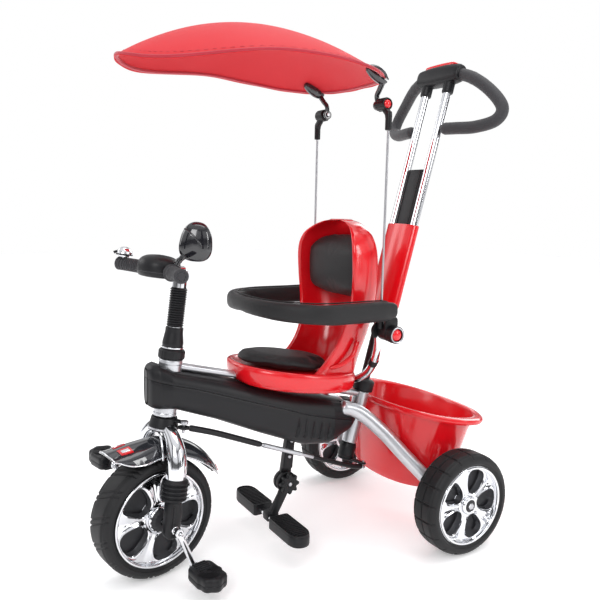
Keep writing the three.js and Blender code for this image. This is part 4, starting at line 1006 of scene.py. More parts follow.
def coverRings(upper):
    # Along y, each ring is an outer arc and the inner arc behind it.
    rings = []
    for y in np.concatenate([np.linspace(-640, -620, 12), np.linspace(-618, -140, 240), [-138]]):
        outer = coverArc(y, upper, 0, 56)
        if upper:
            # The rolled top edge: a bead that runs along each shoulder.
            low, high = (np.interp(y, *zip(*coverTable[k])) for k in ("seam", "top"))
            share = (outer[:, 2] - low) / max(high - low, 1)
            outer[:, 0] *= 1 + bump(share, 0.93, 0.05, 0.02) - bump(share, 0.8, 0.04, 0.03)
        else:
            for sy, sz in slotPlaces:
                dy = outer[:, 1] - sy - (outer[:, 2] - sz) * 0.2
                inside = np.clip((4.0 - np.abs(dy)) / 1.4, 0,
                                 1) * np.clip((14 - np.abs(outer[:, 2] - sz)) / 1.6, 0, 1)
                outer[:, 0] -= np.sign(outer[:, 0]) * 4 * inside * (np.abs(outer[:, 0]) > 30)
        edge = 1.4
        first, last = outer[0].copy(), outer[-1].copy()
        outer[0, 0] -= np.sign(first[0]) * edge
        outer[-1, 0] -= np.sign(last[0]) * edge
        inner = coverArc(y, upper, 4.6 if not upper else 3, 56)[::-1]
        rings.append(np.vstack([outer, inner]))
    return np.array(rings)


def troughSkin(rings):
    # A hollow run with an outer and an inner side, its two ends joined between them.
    points, faces = skin(rings, caps=False)
    runs, count = rings.shape[:2]
    for end in (0, runs - 1):
        first = end * count
        faces += [[first + j, first + j + 1, first + count - 2 - j, first + count - 1 - j]
                  for j in range(count // 2 - 1)]
    return points, faces


def buildCover():
    headRoom = placedIn(straight((0, 0, 150), (0, 0, 480), 24.8, 48), "head")
    postRoom = placedIn(straight((0, 0, -260), (0, 0, 60), 18.8, 48), "post")
    railRoom = tube(smooth([(0, -600, 438.5), (0, -100, 312.6)], 10), 12.3, 32, flat=0.66, exponent=3.2)
    armRooms = [tube(smooth([(s * x, y, z) for x, y, z in armPath], 40), 17.3, 32) for s in (1, -1)]
    for upper, half in ((True, "upper"), (False, "lower")):
        end = skin(np.array([coverArc(-640, upper, 0, 56), coverArc(-637, upper, 0.2, 56)]))
        emit("coverEnd" + half.capitalize(), [end], "body_cover_" + half, "blackPlastic", sharp=45,
             cutters=[headRoom])
    emit("coverUpper", [troughSkin(coverRings(True))], "body_cover_upper", "blackPlastic", sharp=45,
         cutters=[headRoom, postRoom, railRoom, *armRooms])
    mainRoom = tube(smooth(mainPath, 40), 17.8, 32)
    footRoom = block((27, 39, 80), (-2, -309, 220), 2)
    emit("coverLower", [troughSkin(coverRings(False))], "body_cover_lower", "blackPlastic", sharp=45,
         cutters=[headRoom, postRoom, mainRoom, footRoom, *armRooms])
    print("cover")


# Seat: a rounded tray with a rolled lip, and a winged back rising from it.
seatTray = [(366, 0.86), (367, 0.9), (371, 0.955), (378, 0.985), (392, 1.0), (402, 1.0), (407, 0.99),
            (409.5, 0.965), (409.5, 0.93),
            (407, 0.905), (404.5, 0.88), (404, 0.85)]


def trayRing(scale, z, count=120):
    # A superellipse that narrows to both ends and tips with the seat.
    c, n = oval(count, 2.6)
    y = -305 + 145 * scale * n
    narrow = np.where(n < 0, 1 - 0.12 * n * n, 1 - 0.1 * n * n)
    return np.column_stack([118 * scale * narrow * c, y, z + 0.14 * (-312 - y)])


backTable = [(384, 92, -164, 150), (430, 88, -152, 108), (480, 93, -136, 94), (540, 108, -128, 90),
             (600, 116.5, -126, 93),
             (660, 116.5, -130, 91), (694, 104, -138, 78), (714, 80, -147, 58), (725, 52, -153, 44),
             (729, 30, -157, 36)]


def wingRun(half, front, rear, z, count, bare=0.0):
    # A half loop from one wing tip round the rear to the other, squared at its corners,
    # less a share at each tip.
    a = np.linspace(bare * np.pi, (1 - bare) * np.pi, count)
    c, s = np.cos(a), np.sin(a)
    power = 2 / 3.2
    return np.column_stack([half * np.sign(c) * np.abs(c) ** power,
                            front + (rear - front) * np.abs(s) ** power, np.full(count, z)])


def buildSeat():
    tray = skin(np.array([trayRing(k, z) for z, k in seatTray]))
    rings = []
    for z, half, rear, depth in smooth(backTable, 90):
        front = rear - depth
        wall = 11
        outer = wingRun(half, front, rear, z, 61)
        inner = wingRun(half - wall, front, rear - wall, z, 61)[::-1]
        # The wing tips are rounded over their thickness.
        t = np.linspace(0, np.pi, 9)[1:-1]
        tip = [np.column_stack([s * (half - wall / 2 + wall / 2 * np.cos(t)), front - 5.0 * np.sin(t),
                                np.full(7, z)]) for s in (-1, 1)]
        rings.append(np.vstack([outer, tip[0], inner, tip[1][::-1]]))
    rings = np.array(rings)
    crest = rings[-1].mean(0)
    over = [rings[-1] + (crest - rings[-1]) * (0.0, 0.12, 0) + (0, 0, 1.0)]
    back = skin(np.concatenate([rings, np.array(over)]), caps=False)
    outer = rings[-1][:61]
    inner = rings[-1][68:129][::-1]
    bridge = [outer, outer * 0.5 + inner * 0.5 + (0, 0, 2.5), inner]
    crown = skin(np.array(bridge), closed=False, caps=False)
    postRoom = placedIn(straight((0, 0, -110), (0, 0, 470), 29, 48), "post")
    barRoom = block((31, 24, 27), (0, -156, 357.3), 3)
    coverRoom = skin(np.array([np.vstack([coverArc(y, True, -1.6, 40), coverArc(y, False, -1.6, 40)])
                               for y in np.linspace(-500, -138, 40)]))
    emit("seatShell", [tray], "seat_shell", "redPlastic", sharp=45, cutters=[coverRoom, postRoom, barRoom])
    emit("seatBack", [back, crown], "seat_shell", "redPlastic", sharp=50)
    # A swept ridge down each side of the seat joins the tray to the back.
    for name, s in bothSides:
        ridge = smooth([(s * 88, -262, 412), (s * 97, -236, 420), (s * 100, -208, 440), (s * 99, -196, 470)],
                       40)
        emit("seatRidge" + name, [tube(ridge, np.linspace(4, 6, 40), 20, roundEnds=5)], "seat_shell",
             "redPlastic")
    print("seat")


def inflate(obj, voxel, cap, pressure=4.0):
    # A short cloth run swells the pad, and no point may leave its start by more than "cap".
    obj.data.remesh_voxel_size = voxel
    modifier = obj.modifiers.new("remesh", "REMESH")
    modifier.mode = "VOXEL"
    modifier.voxel_size = voxel
    bpy.context.view_layer.update()
    bake(obj)
    rest = np.zeros(len(obj.data.vertices) * 3)
    obj.data.vertices.foreach_get("co", rest)
    rest = rest.reshape(-1, 3)
    cloth = obj.modifiers.new("cloth", "CLOTH")
    cloth.settings.use_pressure = True
    cloth.settings.uniform_pressure_force = pressure
    cloth.settings.effector_weights.gravity = 0
    cloth.settings.quality = 5
    cloth.point_cache.frame_start = 1
    cloth.point_cache.frame_end = 20
    for number in range(1, 21):
        bpy.context.scene.frame_set(number)
    bake(obj)
    bpy.context.scene.frame_set(1)
    now = np.zeros(len(obj.data.vertices) * 3)
    obj.data.vertices.foreach_get("co", now)
    step = now.reshape(-1, 3) - rest
    length = np.linalg.norm(step, axis=1, keepdims=True)
    step *= np.minimum(1, cap / np.maximum(length, 1e-9))
    obj.data.vertices.foreach_set("co", (rest + step).ravel().astype(np.float32))
    modifier = obj.modifiers.new("soften", "SUBSURF")
    modifier.levels = 1
    modifier.render_levels = 1
    bpy.context.view_layer.update()
    bake(obj)


def pad(name, parts, body, nodes, voxel=0.005, cap=0.004):
    # A cushion: its piece is let go for the cloth run, then rides again.
    obj = emit(name, parts, nodes, "padCloth", body, sharp=80)
    parent = obj.parent
    obj.parent = None
    inflate(obj, voxel, cap)
    obj.parent = parent
    if not obj.data.materials:
        obj.data.materials.append(mat["padCloth"])
    finishShading(obj, 80)
    return obj


def buildPads():
    c, n = oval(72, 2.4)
    rings = []
    for rise, scale in [(0, 0.86), (1, 0.93), (5, 0.97), (11, 0.975), (16, 0.93), (19.4, 0.82), (21.2, 0.6),
                        (22, 0.3)]:
        y = -330 + 107 * scale * n
        half = 84 * scale * (1 - 0.16 * n * n - 0.1 * np.clip(-n, 0, 1) ** 3)
        rings.append(np.column_stack([half * c, y, 411 + rise + 0.14 * (-312 - y)]))
    pad("seatCushion", [skin(np.array(rings))], "frame", "seat_cushion")
    rings = []
    for z, bare, bulge in smooth([(560, 0.22, 0), (563, 0.14, 3), (572, 0.06, 6), (590, 0.035, 9),
                                  (645, 0.035, 9), (672, 0.06, 8), (688, 0.16, 5),
                                  (697, 0.33, 0)], 50):
        half, rear, depth = (np.interp(z, [row[0] for row in backTable], [row[k] for row in backTable])
                             for k in (1, 2, 3))
        outer = wingRun(half - 12.6, rear - depth, rear - 12.6, z, 61, bare)
        across = np.linspace(-1, 1, 31)[1:-1]
        front = np.column_stack([outer[0, 0] * -across[::-1], outer[0, 1] - bulge * (1 - across**4),
                                 np.full(29, z)])
        rings.append(np.vstack([outer, front[::-1] * (-1, 1, 1)]))
    pad("backCushion", [skin(np.array(rings))], "frame", "back_cushion")


ring = {"halfWidth": 162, "frontY": -428, "bendY": -300}


def ringMiddle(t):
    # t runs from one end of the guard over its front to the other: a half oval, then two straight arms.
    far, s = np.abs(t), np.sign(t)
    a = np.minimum(1, far / 0.6) * np.pi / 2
    run = np.clip((far - 0.6) / 0.4, 0, 1)
    bend = ring["bendY"] + (ring["frontY"] - ring["bendY"]) * np.cos(a)
    y = bend + (guardPivot[0] + 6 - bend) * run
    out = np.stack([s * np.sin(a) * (ring["bendY"] - ring["frontY"]), -np.cos(a) * ring["halfWidth"]], -1)
    out /= np.linalg.norm(out, axis=1, keepdims=True)
    low = np.interp(far, [0, 0.3, 0.6, 0.92, 1], [534, 526, 519, 519, 526])
    high = np.interp(far, [0, 0.5, 0.92, 1], [570, 567, 566, 560])
    thick = np.interp(far, [0, 0.5, 0.9, 1], [13, 16, 17, 11])
    return s * ring["halfWidth"] * np.sin(a) ** 0.92, y, out, low, high, thick


def ringPoints(t, c, n, grow=0.0):
    # Points round the bar's section: c is across it, outwards, and n is up.
    x, y, out, low, high, thick = ringMiddle(t)
    across = (thick + grow)[:, None] * c
    return np.stack([x[:, None] + out[:, :1] * across, y[:, None] + out[:, 1:] * across,
                     ((low + high) / 2)[:, None] + ((high - low) / 2 + grow)[:, None] * n], -1)


def buildGuard():
    t = np.concatenate([np.linspace(-1, -0.995, 2), np.linspace(-0.985, 0.985, 120),
                        np.linspace(0.995, 1, 2)])
    c, n = oval(44, 2.7)
    rings = ringPoints(t, c[None], n[None], -1.4)
    middle = rings.mean(1, keepdims=True)
    for k, share in ((0, 0.8), (1, 0.94), (-1, 0.8), (-2, 0.94)):
        rings[k] = middle[k] + (rings[k] - middle[k]) * share
    pad("guardRing", [skin(rings)], "guard", "guard_ring", 0.005, 0.0035)
    # A sewn seam's piping along the inside top edge, and the same along the inside bottom edge.
    t = np.linspace(-0.96, 0.96, 200)
    for name, across, up in (("guardPipingTop", -0.62, 0.86), ("guardPipingBottom", -0.62, -0.86)):
        line = ringPoints(t, np.array([[across]]), np.array([[up]]), 1.6)[:, 0]
        emit(name, [tube(line, 1.5, 12, roundEnds=3)], (), "padCloth", "guard")
    for name, s in bothSides:
        ear = [block((9.6, 33, 34), (s * 156, -152, 511), 3, 5)]
        loop = rounded([(11.4, -5), (18, -5), (18, 5), (11.4, 5)], 1.0, closed=True)
        ear.append(lathe(loop, 56, "x", (s * 156, *guardPivot), looped=True))
        emit("guardEar" + name, ear, "guard_ring", "blackPlastic", "guard",
             cutters=[lathe([(0.01, -8), (11.2, -8), (11.2, 8), (0.01, 8)], 48, "x", (s * 156, *guardPivot))])
    print("guard")


# Tub: an oval bowl with a rolled rim.
tubTable = {"y": 38, "halfWidth": 222, "halfLength": 121, "z": 284, "slope": -0.13}


def tubRing(scaleX, scaleY, depth, shift=0.0, floor=108, count=160):
    # A level of the bowl: depth runs from 0 at the sloping rim to 1 at the floor.
    c, n = oval(count, 2.2)
    y = tubTable["y"] + tubTable["halfLength"] * scaleY * n + shift
    rim = tubTable["z"] + tubTable["slope"] * tubTable["halfLength"] * scaleY * n
    return np.column_stack([tubTable["halfWidth"] * scaleX * c, y, rim + (floor - rim) * depth])


def buildTub():
    outside = [(0.6, 0.64, 1, -18), (0.635, 0.67, 0.995, -18), (0.66, 0.69, 0.965, -17.6),
               (0.7, 0.725, 0.9, -17), (0.75, 0.79, 0.62, -12.5),
               (0.8, 0.85, 0.35, -8), (0.83, 0.885, 0.18, -4), (0.86, 0.92, 0.05, 0),
               (0.95, 0.965, 0.045, 0), (0.985, 0.985, 0.04, 0),
               (0.998, 0.998, 0.02, 0), (1, 1, 0, 0), (0.994, 0.994, -0.022, 0), (0.975, 0.977, -0.034, 0),
               (0.93, 0.945, -0.034, 0),
               (0.885, 0.92, -0.03, 0), (0.862, 0.905, -0.015, 0), (0.85, 0.895, 0.02, 0)]
    inside = [(0.82, 0.86, 0.15, -4), (0.78, 0.82, 0.35, -8), (0.72, 0.76, 0.65, -12)]
    rings = [tubRing(*row) for row in outside] + [tubRing(*row) for row in inside]
    rings += [tubRing(0.655, 0.68, 0.97, -17, 130), tubRing(0.63, 0.65, 1, -17, 130),
              tubRing(0.3, 0.3, 1, -17, 130)]
    rings = np.array(rings)
    # Two crease lines run down each side.
    angle = np.linspace(0, 2 * np.pi, 160, endpoint=False)
    crease = sum(np.exp(-(((np.mod(angle - a + np.pi, 2 * np.pi) - np.pi) / 0.035) ** 2))
                 for a in (-1.05, -2.09, 1.0, 2.14, -0.45, -2.69))
    for k in range(3, 8):
        out = rings[k] - rings[k].mean(0)
        out[:, 2] = 0
        out /= np.linalg.norm(out, axis=1, keepdims=True)
        rings[k] += out * (1.6 * crease)[:, None]
    postRoom = placedIn(straight((0, 0, -320), (0, 0, 20), 21, 48), "post")
    collarRoom = placedIn(straight((0, 0, -22), (0, 0, 38), 28, 48), "post")
    axleRoom = straight((-300, 0, axleHeight), (300, 0, axleHeight), 8, 24)
    armRooms = [tube(smooth([(s * x, y, z) for x, y, z in armPath], 40), 19, 32) for s in (1, -1)]
    wheelRooms = [straight((s * 197, 0, axleHeight), (s * 300, 0, axleHeight), 120.5, 96) for s in (1, -1)]
    emit("tub", [skin(rings)], "basket", "redPlastic", sharp=42,
         cutters=[postRoom, collarRoom, axleRoom, *armRooms, *wheelRooms])
    print("tub")


rodPlace = (136.5, -164.5)


def buildSupports():
    side = [(124, -160, 484), (122, -158, 462), (104, -152, 424), (72, -146, 388), (36, -150, 365)]
    path = smooth(side + [(0, -152, 358)] + [(-x, y, z) for x, y, z in side[::-1]], 140)
    parts = [(tube(path, 9, 32, up=(0, 1, 0)), 0)]
    for s in (1, -1):
        parts.append((straight((s * 104, -152, 424), (s * 93, -149.6, 411), 10.6, 32, bevel=1), 1))
    emit("supportBar", parts, "support_bar", "chrome blackPlastic",
         cutters=[placedIn(straight((0, 0, -110), (0, 0, 190), 12, 32), "post")])
    for name, s in bothSides:
        drum = rounded([(1, -22), (15, -22), (17, -19.5), (17, 22), (15.5, 22.3), (1, 22.3)], 1.2)
        cup = rounded([(1, -9.2), (17.4, -9.2), (19, -7.5), (19, 7.4), (18, 9.2), (15, 9.2), (14.2, 8),
                       (14.2, -5.4), (1, -5.4)], 0.8)
        parts = [(openLathe(drum * (1, s), 72, "x", (s * 128.3, *guardPivot)), 0),
                 (openLathe(cup * (1, s), 72, "x", (s * 170.8, *guardPivot)), 0),
                 (straight((s * 150, *guardPivot), (s * 163, *guardPivot), 10, 40), 0),
                 (turned([(2.9, 0), (7, 0), (7, 32), (6, 36), (2.9, 36.4)], 1.0, 48, "z",
                         (s * 136.5, -164.5, 500)), 0)]
        for k in range(3):
            groove = rounded([(16.6, -1.4), (17.9, -0.8), (17.9, 0.8), (16.6, 1.4)], 0.4)
            parts.append((openLathe(groove, 72, "x", (s * (112 + 6 * k), *guardPivot)), 0))
        strap = smooth([(s * 128, -170.2, 480), (s * 128, -172.6, 496), (s * 128, -165, 508),
                        (s * 128, -150, 511.2)], 30)
        parts.append((tube(strap, 7.5, 24, up=(1, 0, 0), flat=0.24, exponent=4), 0))
        screw = turned([(0.1, 2.6), (3.2, 2.4), (4.4, 1.2), (4.4, -2)], 0.6, 40, "y", (s * 120, -169.6, 490))
        parts.append((screw, 1))
        trim = lathe(rounded([(14.2, 8.8), (16.4, 9.6), (17.6, 9.0), (17.6, 8.2), (14.2, 8.2)],
                             0.4) * (1, s), 72, "x", (s * 170.8, *guardPivot), looped=True)
        parts.append((trim, 1))
        emit("guardBracket" + name, parts, "guard_bracket_" + name.lower(), "blackPlastic screwSteel")
        cap = rounded([(0.1, 0), (13.2, 0), (13.4, 1), (13.2, 4.5), (9.6, 8.0), (5, 9.7), (0.1, 10)], 1.6, 5)
        emit("guardButton" + name, [openLathe(cap * (1, s), 72, "x", (s * 171.8, *guardPivot))],
             "guard_button_" + name.lower(), "redPlastic", "guard_button_" + name.lower(), sharp=60)
        x, y = s * rodPlace[0], rodPlace[1]
        parts = [(straight((x, y, 510), (x, y, 940), 2.5, 24), 1)]
        sleeve = rounded([(2.4, 918), (6.4, 918), (7, 920), (7, 950), (6, 956), (2.4, 957)], 1.0)
        parts.append((openLathe(sleeve, 48, "z", (x, y, 0)), 0))
        neck = smooth([(s * 136.5, y, 944), (s * 134, y, 952), (s * 126, y, 960), (s * 119, y + 0.3, 970)],
                      24)
        parts.append((tube(neck, 6.6, 24, exponent=3), 0))
        drum = rounded([(0.1, -15), (11.4, -15), (13, -13), (13, 13), (12.2, 14.6), (9.9, 14.9), (9.9, 9.5),
                        (0.1, 9.5)], 0.8)
        parts.append((openLathe(drum * (1, s), 72, "x", (s * 117, *canopyHinge)), 0))
        y0, z0 = canopyHinge
        for k in range(12):
            a = 2 * math.pi * k / 12
            finY, finZ = y0 + 13 * math.cos(a), z0 + 13 * math.sin(a)
            parts.append((straight((s * 104, finY, finZ), (s * 128, finY, finZ), 0.9, 10), 0))
        pin = rounded([(0.1, -7), (3.4, -7), (4, -6), (4, 7), (0.1, 7)], 0.6)
        parts.append((openLathe(pin * (1, s), 32, "x", (s * 97, *canopyHinge)), 1))
        if s < 0:
            parts.append((turned([(0.1, 9.6), (4, 9.6), (7, 10.2), (9.6, 13.6)], 0.6, 48, "x",
                                 (s * 117, *canopyHinge), side=s), 0))
        emit("canopyRod" + name, parts, "canopy_rod_" + name.lower(), "blackPlastic screwSteel")
    cap = rounded([(0.1, 0), (8.8, 0), (8.8, 2.6), (6.5, 5), (3, 6.3), (0.1, 6.5)], 1.2, 5)
    emit("canopyButton", [openLathe(cap, 64, "x", (128.6, *canopyHinge))], "canopy_button", "redPlastic",
         "canopy_button", sharp=60)
    print("supports")


dome = {"y": -412, "halfLength": 280, "halfWidth": 165, "edge": 946, "rise": 91, "crown": 76, "flare": 0.42,
        "droop": 40}


def domePoint(c, n, lift):
    # Height falls with the square of each distance from the middle, and the front corners droop.
    corner = np.where(n < 0, dome["droop"] * (c * n) ** 2, 0)
    z = dome["edge"] + dome["rise"] * (1 - n * n) + dome["crown"] * (1 - c * c) - corner + lift
    return np.stack(np.broadcast_arrays(dome["halfWidth"] * c * (1 + dome["flare"] * n),
                                        dome["y"] + dome["halfLength"] * n, z), -1)


def buildCanopy():
    c, n = oval(200, 2.2)
    scales = np.sin(np.linspace(0, np.pi / 2, 44))[::-1]
    scales[-1] = 0.004

    def wrinkle(s):
        # Slow folds over the whole dome, and finer ones that grow towards the hem.
        slow = np.sin(9 * n * s + 3 * c * s) * np.cos(5 * c * s - 2 * n * s)
        return 0.5 * slow + 0.35 * np.sin(22 * c * s + 8 * n * s) * s**6

    over = [domePoint(c * s, n * s, 2.4 + wrinkle(s) - 0.6 * (s > 0.99)) for s in scales]
    under = [domePoint(c * s, n * s, 0.9 + wrinkle(s) - 0.6 * (s > 0.99)) for s in scales]
    points, faces = skin(np.array(over[::-1] + under))
    cloth = emit("canopyCloth", [(points, faces)], "canopy", "canopyRed", "canopy", sharp=80)
    binding = domePoint(c * 0.985, n * 0.985, 1.9)
    closed = np.vstack([binding, binding[:2]])
    hem = emit("canopyBinding", [tube(closed, 4.4, 20, flat=0.62, exponent=3)], (), "bindingRed", "canopy",
               sharp=60)
    stitches = []
    line = domePoint(c * 0.945, n * 0.945, 2.5)
    for k in range(0, 200, 2):
        a, b = line[k], line[(k + 1) % 200]
        stitches.append(tube(np.array([a, (a + b) / 2 + (0, 0, 0.35), b]), 0.5, 6))
    stitch = emit("canopyStitches", stitches, (), "bindingRed", "canopy", sharp=60)
    for name, s in bothSides:
        y, z = canopyHinge
        eye = rounded([(4.5, -3.5), (9, -3.5), (10, -2.5), (10, 2.5), (9, 3.5), (4.5, 3.5)], 0.8, closed=True)
        parts = [lathe(eye, 48, "x", (s * 96, y, z), looped=True)]
        stem = smooth([(s * 96, y, z + 7), (s * 96, y - 2, z + 20), (s * 106, y - 4, z + 30),
                       (s * 121, y - 6, z + 46)], 30)
        parts.append(tube(stem, np.linspace(5, 6, 30), 24))
        emit("canopyClip" + name, parts, "canopy_clip_" + name.lower(), "blackGloss", "canopy")
        table = [(-17, 1), (-16, 6), (-8, 16.6), (0, 20), (8, 21), (16, 19.6), (24, 17), (32, 11.6), (36, 7),
                 (37.5, 1)]
        c1, n1 = oval(48, 2.2)
        rings = []
        for forward, size in smooth(table, 50):
            swell = max(size, 0.5) / 21
            rings.append(np.column_stack([s * 121 + 9.5 * (swell**0.5) * c1, np.full(48, y - 12.0 - forward),
                                          z + 55 + 0.3 * forward + size * 0.8 * n1]))
        under = [domePoint(c * k, n * k, -0.9) for k in (0.1, 0.4, 0.6, 0.8, 0.92, 1.03)]
        above = [domePoint(c * k, n * k, 4.2) for k in (1.03, 0.92, 0.8, 0.6, 0.4, 0.1)]
        emit("canopyCover" + name, [skin(np.array(rings))], "canopy_clip_" + name.lower(), "blackGloss",
             "canopy", sharp=60, cutters=[skin(np.array(under + above))])
    print("canopy")


loopHeight = 766
lobe = [(60, 4, -2), (105, 14, -16), (150, 32, -46), (182, 43, -82), (176, 38, -112), (135, 22, -129),
        (90, 8, -133), (50, 0, -134)]


def buildHandle():
    collar = rounded([(11.6, -13), (23, -13), (25, -10), (25, 12), (19, 17), (11.6, 17)], 1.6)
    guide = block((55, 11.6, 141), (0, 0, 463.5), 2.5)
    groove = [block((1.6, 1.2, 132), (s * 20, -6.2, 463.5), 0.4) for s in (1, -1)]
    parts = [straight((0, 0, -154), (0, 0, 166), 11.5, 32, bevel=1), openLathe(collar, 72),
             block((43.6, 15.6, 240), (0, 0, 280), 2), guide, *groove]
    emit("handlePost", parts, "rear_steering_shaft", "blackPlastic", "handle_post", "post")
    sleeve = smooth([(152, 16, 13), (154, 17.5, 14.4), (164, 25, 15), (180, 39, 16), (196, 50, 16.8),
                     (206, 53, 17), (260, 53, 17), (386, 53, 17),
                     (391, 52.2, 16.4), (392.4, 50, 14.4)], 60)
    c, n = oval(72, 2.2)
    rings = [np.column_stack([w * c, d * n, np.full(72, z)]) for z, w, d in sleeve]
    rooms = [straight((s * 38, 0, 216), (s * 38, 0, 520), 9.9, 40) for s in (1, -1)]
    rooms += [block((44.8, 16.6, 300), (0, 0, 300), 1.0), straight((0, 0, 100), (0, 0, 170), 12, 32)]
    emit("handleSleeve", [skin(np.array(rings))], "handle_sleeve", "redPlastic", "handle_post", "post",
         sharp=50, cutters=rooms)
    for name, s in bothSides:
        emit("handleTube" + name, [straight((s * 38, 0, 330), (s * 38, 0, 738), 9.5, 40, bevel=0.8)],
             "handle_tube_" + name.lower(), "chrome", "push_handle", "post")
    table = smooth([(-71, 13), (-70, 16.6), (-64, 20), (-44, 22.6), (-24, 24), (0, 24.2), (24, 24),
                    (44, 22.6), (64, 20), (70, 16.6), (71, 13)], 80)
    c, n = oval(64, 2.8)
    rings = [np.column_stack([np.full(64, x), r * 0.84 * c, loopHeight + r * n - (r - 17) * 0.2])
             for x, r in table]
    whole = [(-x, y, z) for x, y, z in lobe[::-1]] + [(0, 0, 0)] + lobe
    path = smooth(whole, 260) + (0, 0, loopHeight)
    barRoom = tube(path[100:161], 14.6, 40, up=(0, 1, 0))
    press = block((104, 25, 17.6), (0, 0, loopHeight + 23), 1)
    tubes = [straight((s * 38, 0, 640), (s * 38, 0, 738.8), 9.9, 40) for s in (1, -1)]
    sockets = [turned([(10.1, 719), (12.2, 719), (13.4, 722), (13.4, 752), (10.1, 752)], 1.0, 56, "z",
                      (s * 38, 0, 0)) for s in (1, -1)]
    emit("handleHousing", [skin(np.array(rings))], "handle_housing", "blackPlastic", "push_handle", "post",
         sharp=45, cutters=[barRoom, press, *tubes])
    emit("handleSockets", sockets, "handle_housing", "blackPlastic", "push_handle", "post")
    t = np.linspace(0, 1, 260)
    radius = 14 + 0.5 * np.exp(-(((np.abs(t - 0.5) - 0.118) / 0.006) ** 2))
    radius[:6] *= np.sqrt(1 - np.linspace(0.93, 0, 6) ** 2)
    radius[-6:] *= np.sqrt(1 - np.linspace(0.93, 0, 6) ** 2)[::-1]
    loop = emit("handleLoop", [tube(path, radius, 44, up=(0, 1, 0))], "handle_loop", "foamGrip",
                "push_handle", "post", sharp=60)
    table = smooth([(-51, 1), (-50, 3), (-42, 6.2), (-28, 7.4), (-14, 8), (0, 8.1), (14, 8), (28, 7.4),
                    (42, 6.2), (50, 3), (51, 1)], 60)
    c, n = oval(56, 2.6)
    rings = [np.column_stack([np.full(56, x), 11.5 * min(1, (r / 4) ** 0.5) * c, loopHeight + 22 + r * n])
             for x, r in table]
    emit("handleRelease", [skin(np.array(rings))], "handle_release", "redPlastic", "handle_release", "post",
         sharp=50, cutters=[block((124, 40, 12), (0, 0, loopHeight + 11.6), 0.2)])
    print("handle")


def buildLinkage():
    cap = rounded([(12.5, -176), (18, -176), (20, -172), (20, -150), (18, -141.2), (12.5, -141)], 1.2)
    floor = rounded([(0.1, -182), (16.5, -182), (18, -180.4), (18, -176), (0.1, -176)], 0.8)
    lever = tube([(9, 8, -179.5), (30, 26.5, -179.5), (34, 30, -179.5), (39, 34.4, -179.5)], (9, 8, 8, 5),
                 28, flat=0.42, exponent=3)
    emit("rearLever", [openLathe(cap, 64), openLathe(floor, 64), lever], "rear_steering_arm", "blackPlastic",
         "handle_post", "post", cutters=[straight((34, 30, -196), (34, 30, -166), 3.4, 24)])
    route = [(34, -124, 146), (34, -166, 156.5), (34, -290, 205), (34, -396, 246), (34, -500, 288),
             (34, -564, 310)]
    path = smooth(route, 160)
    y = path[:, 1]
    parts = [(tube(path, 4, 24), 2)]
    front = path[y < -392]
    middle = path[(y >= -392) & (y < -292)]
    back = path[y >= -292]
    parts.append((tube(front, 6.5, 28, roundEnds=4), 0))
    parts.append((tube(middle, 5.2, 28), 1))
    parts.append((tube(back[:-6], np.linspace(6.4, 5, len(back) - 6), 28, roundEnds=4), 0))
    end = placedIn(turned([(0.1, -191.5), (6.4, -191.5), (7, -190), (7, -186), (6, -184.6), (2.8, -184.5),
                           (2.8, -174), (0.1, -173)], 0.7, 48, "z", (34, 30, 0)), "post")
    eye = rounded([(7.6, 188), (11, 188), (12, 189), (12, 192), (11, 193), (7.6, 193)], 0.6, closed=True)
    parts += [(end, 2), (placedIn(lathe(eye, 64, "z", (34, 30, 0), looped=True), "head"), 0)]
    emit("linkRod", parts, "link_rod", "blackPlastic silver screwSteel", "link",
         cutters=[placedIn(straight((34, 30, 170), (34, 30, 212), 7.5, 40), "head")])
    print("linkage")


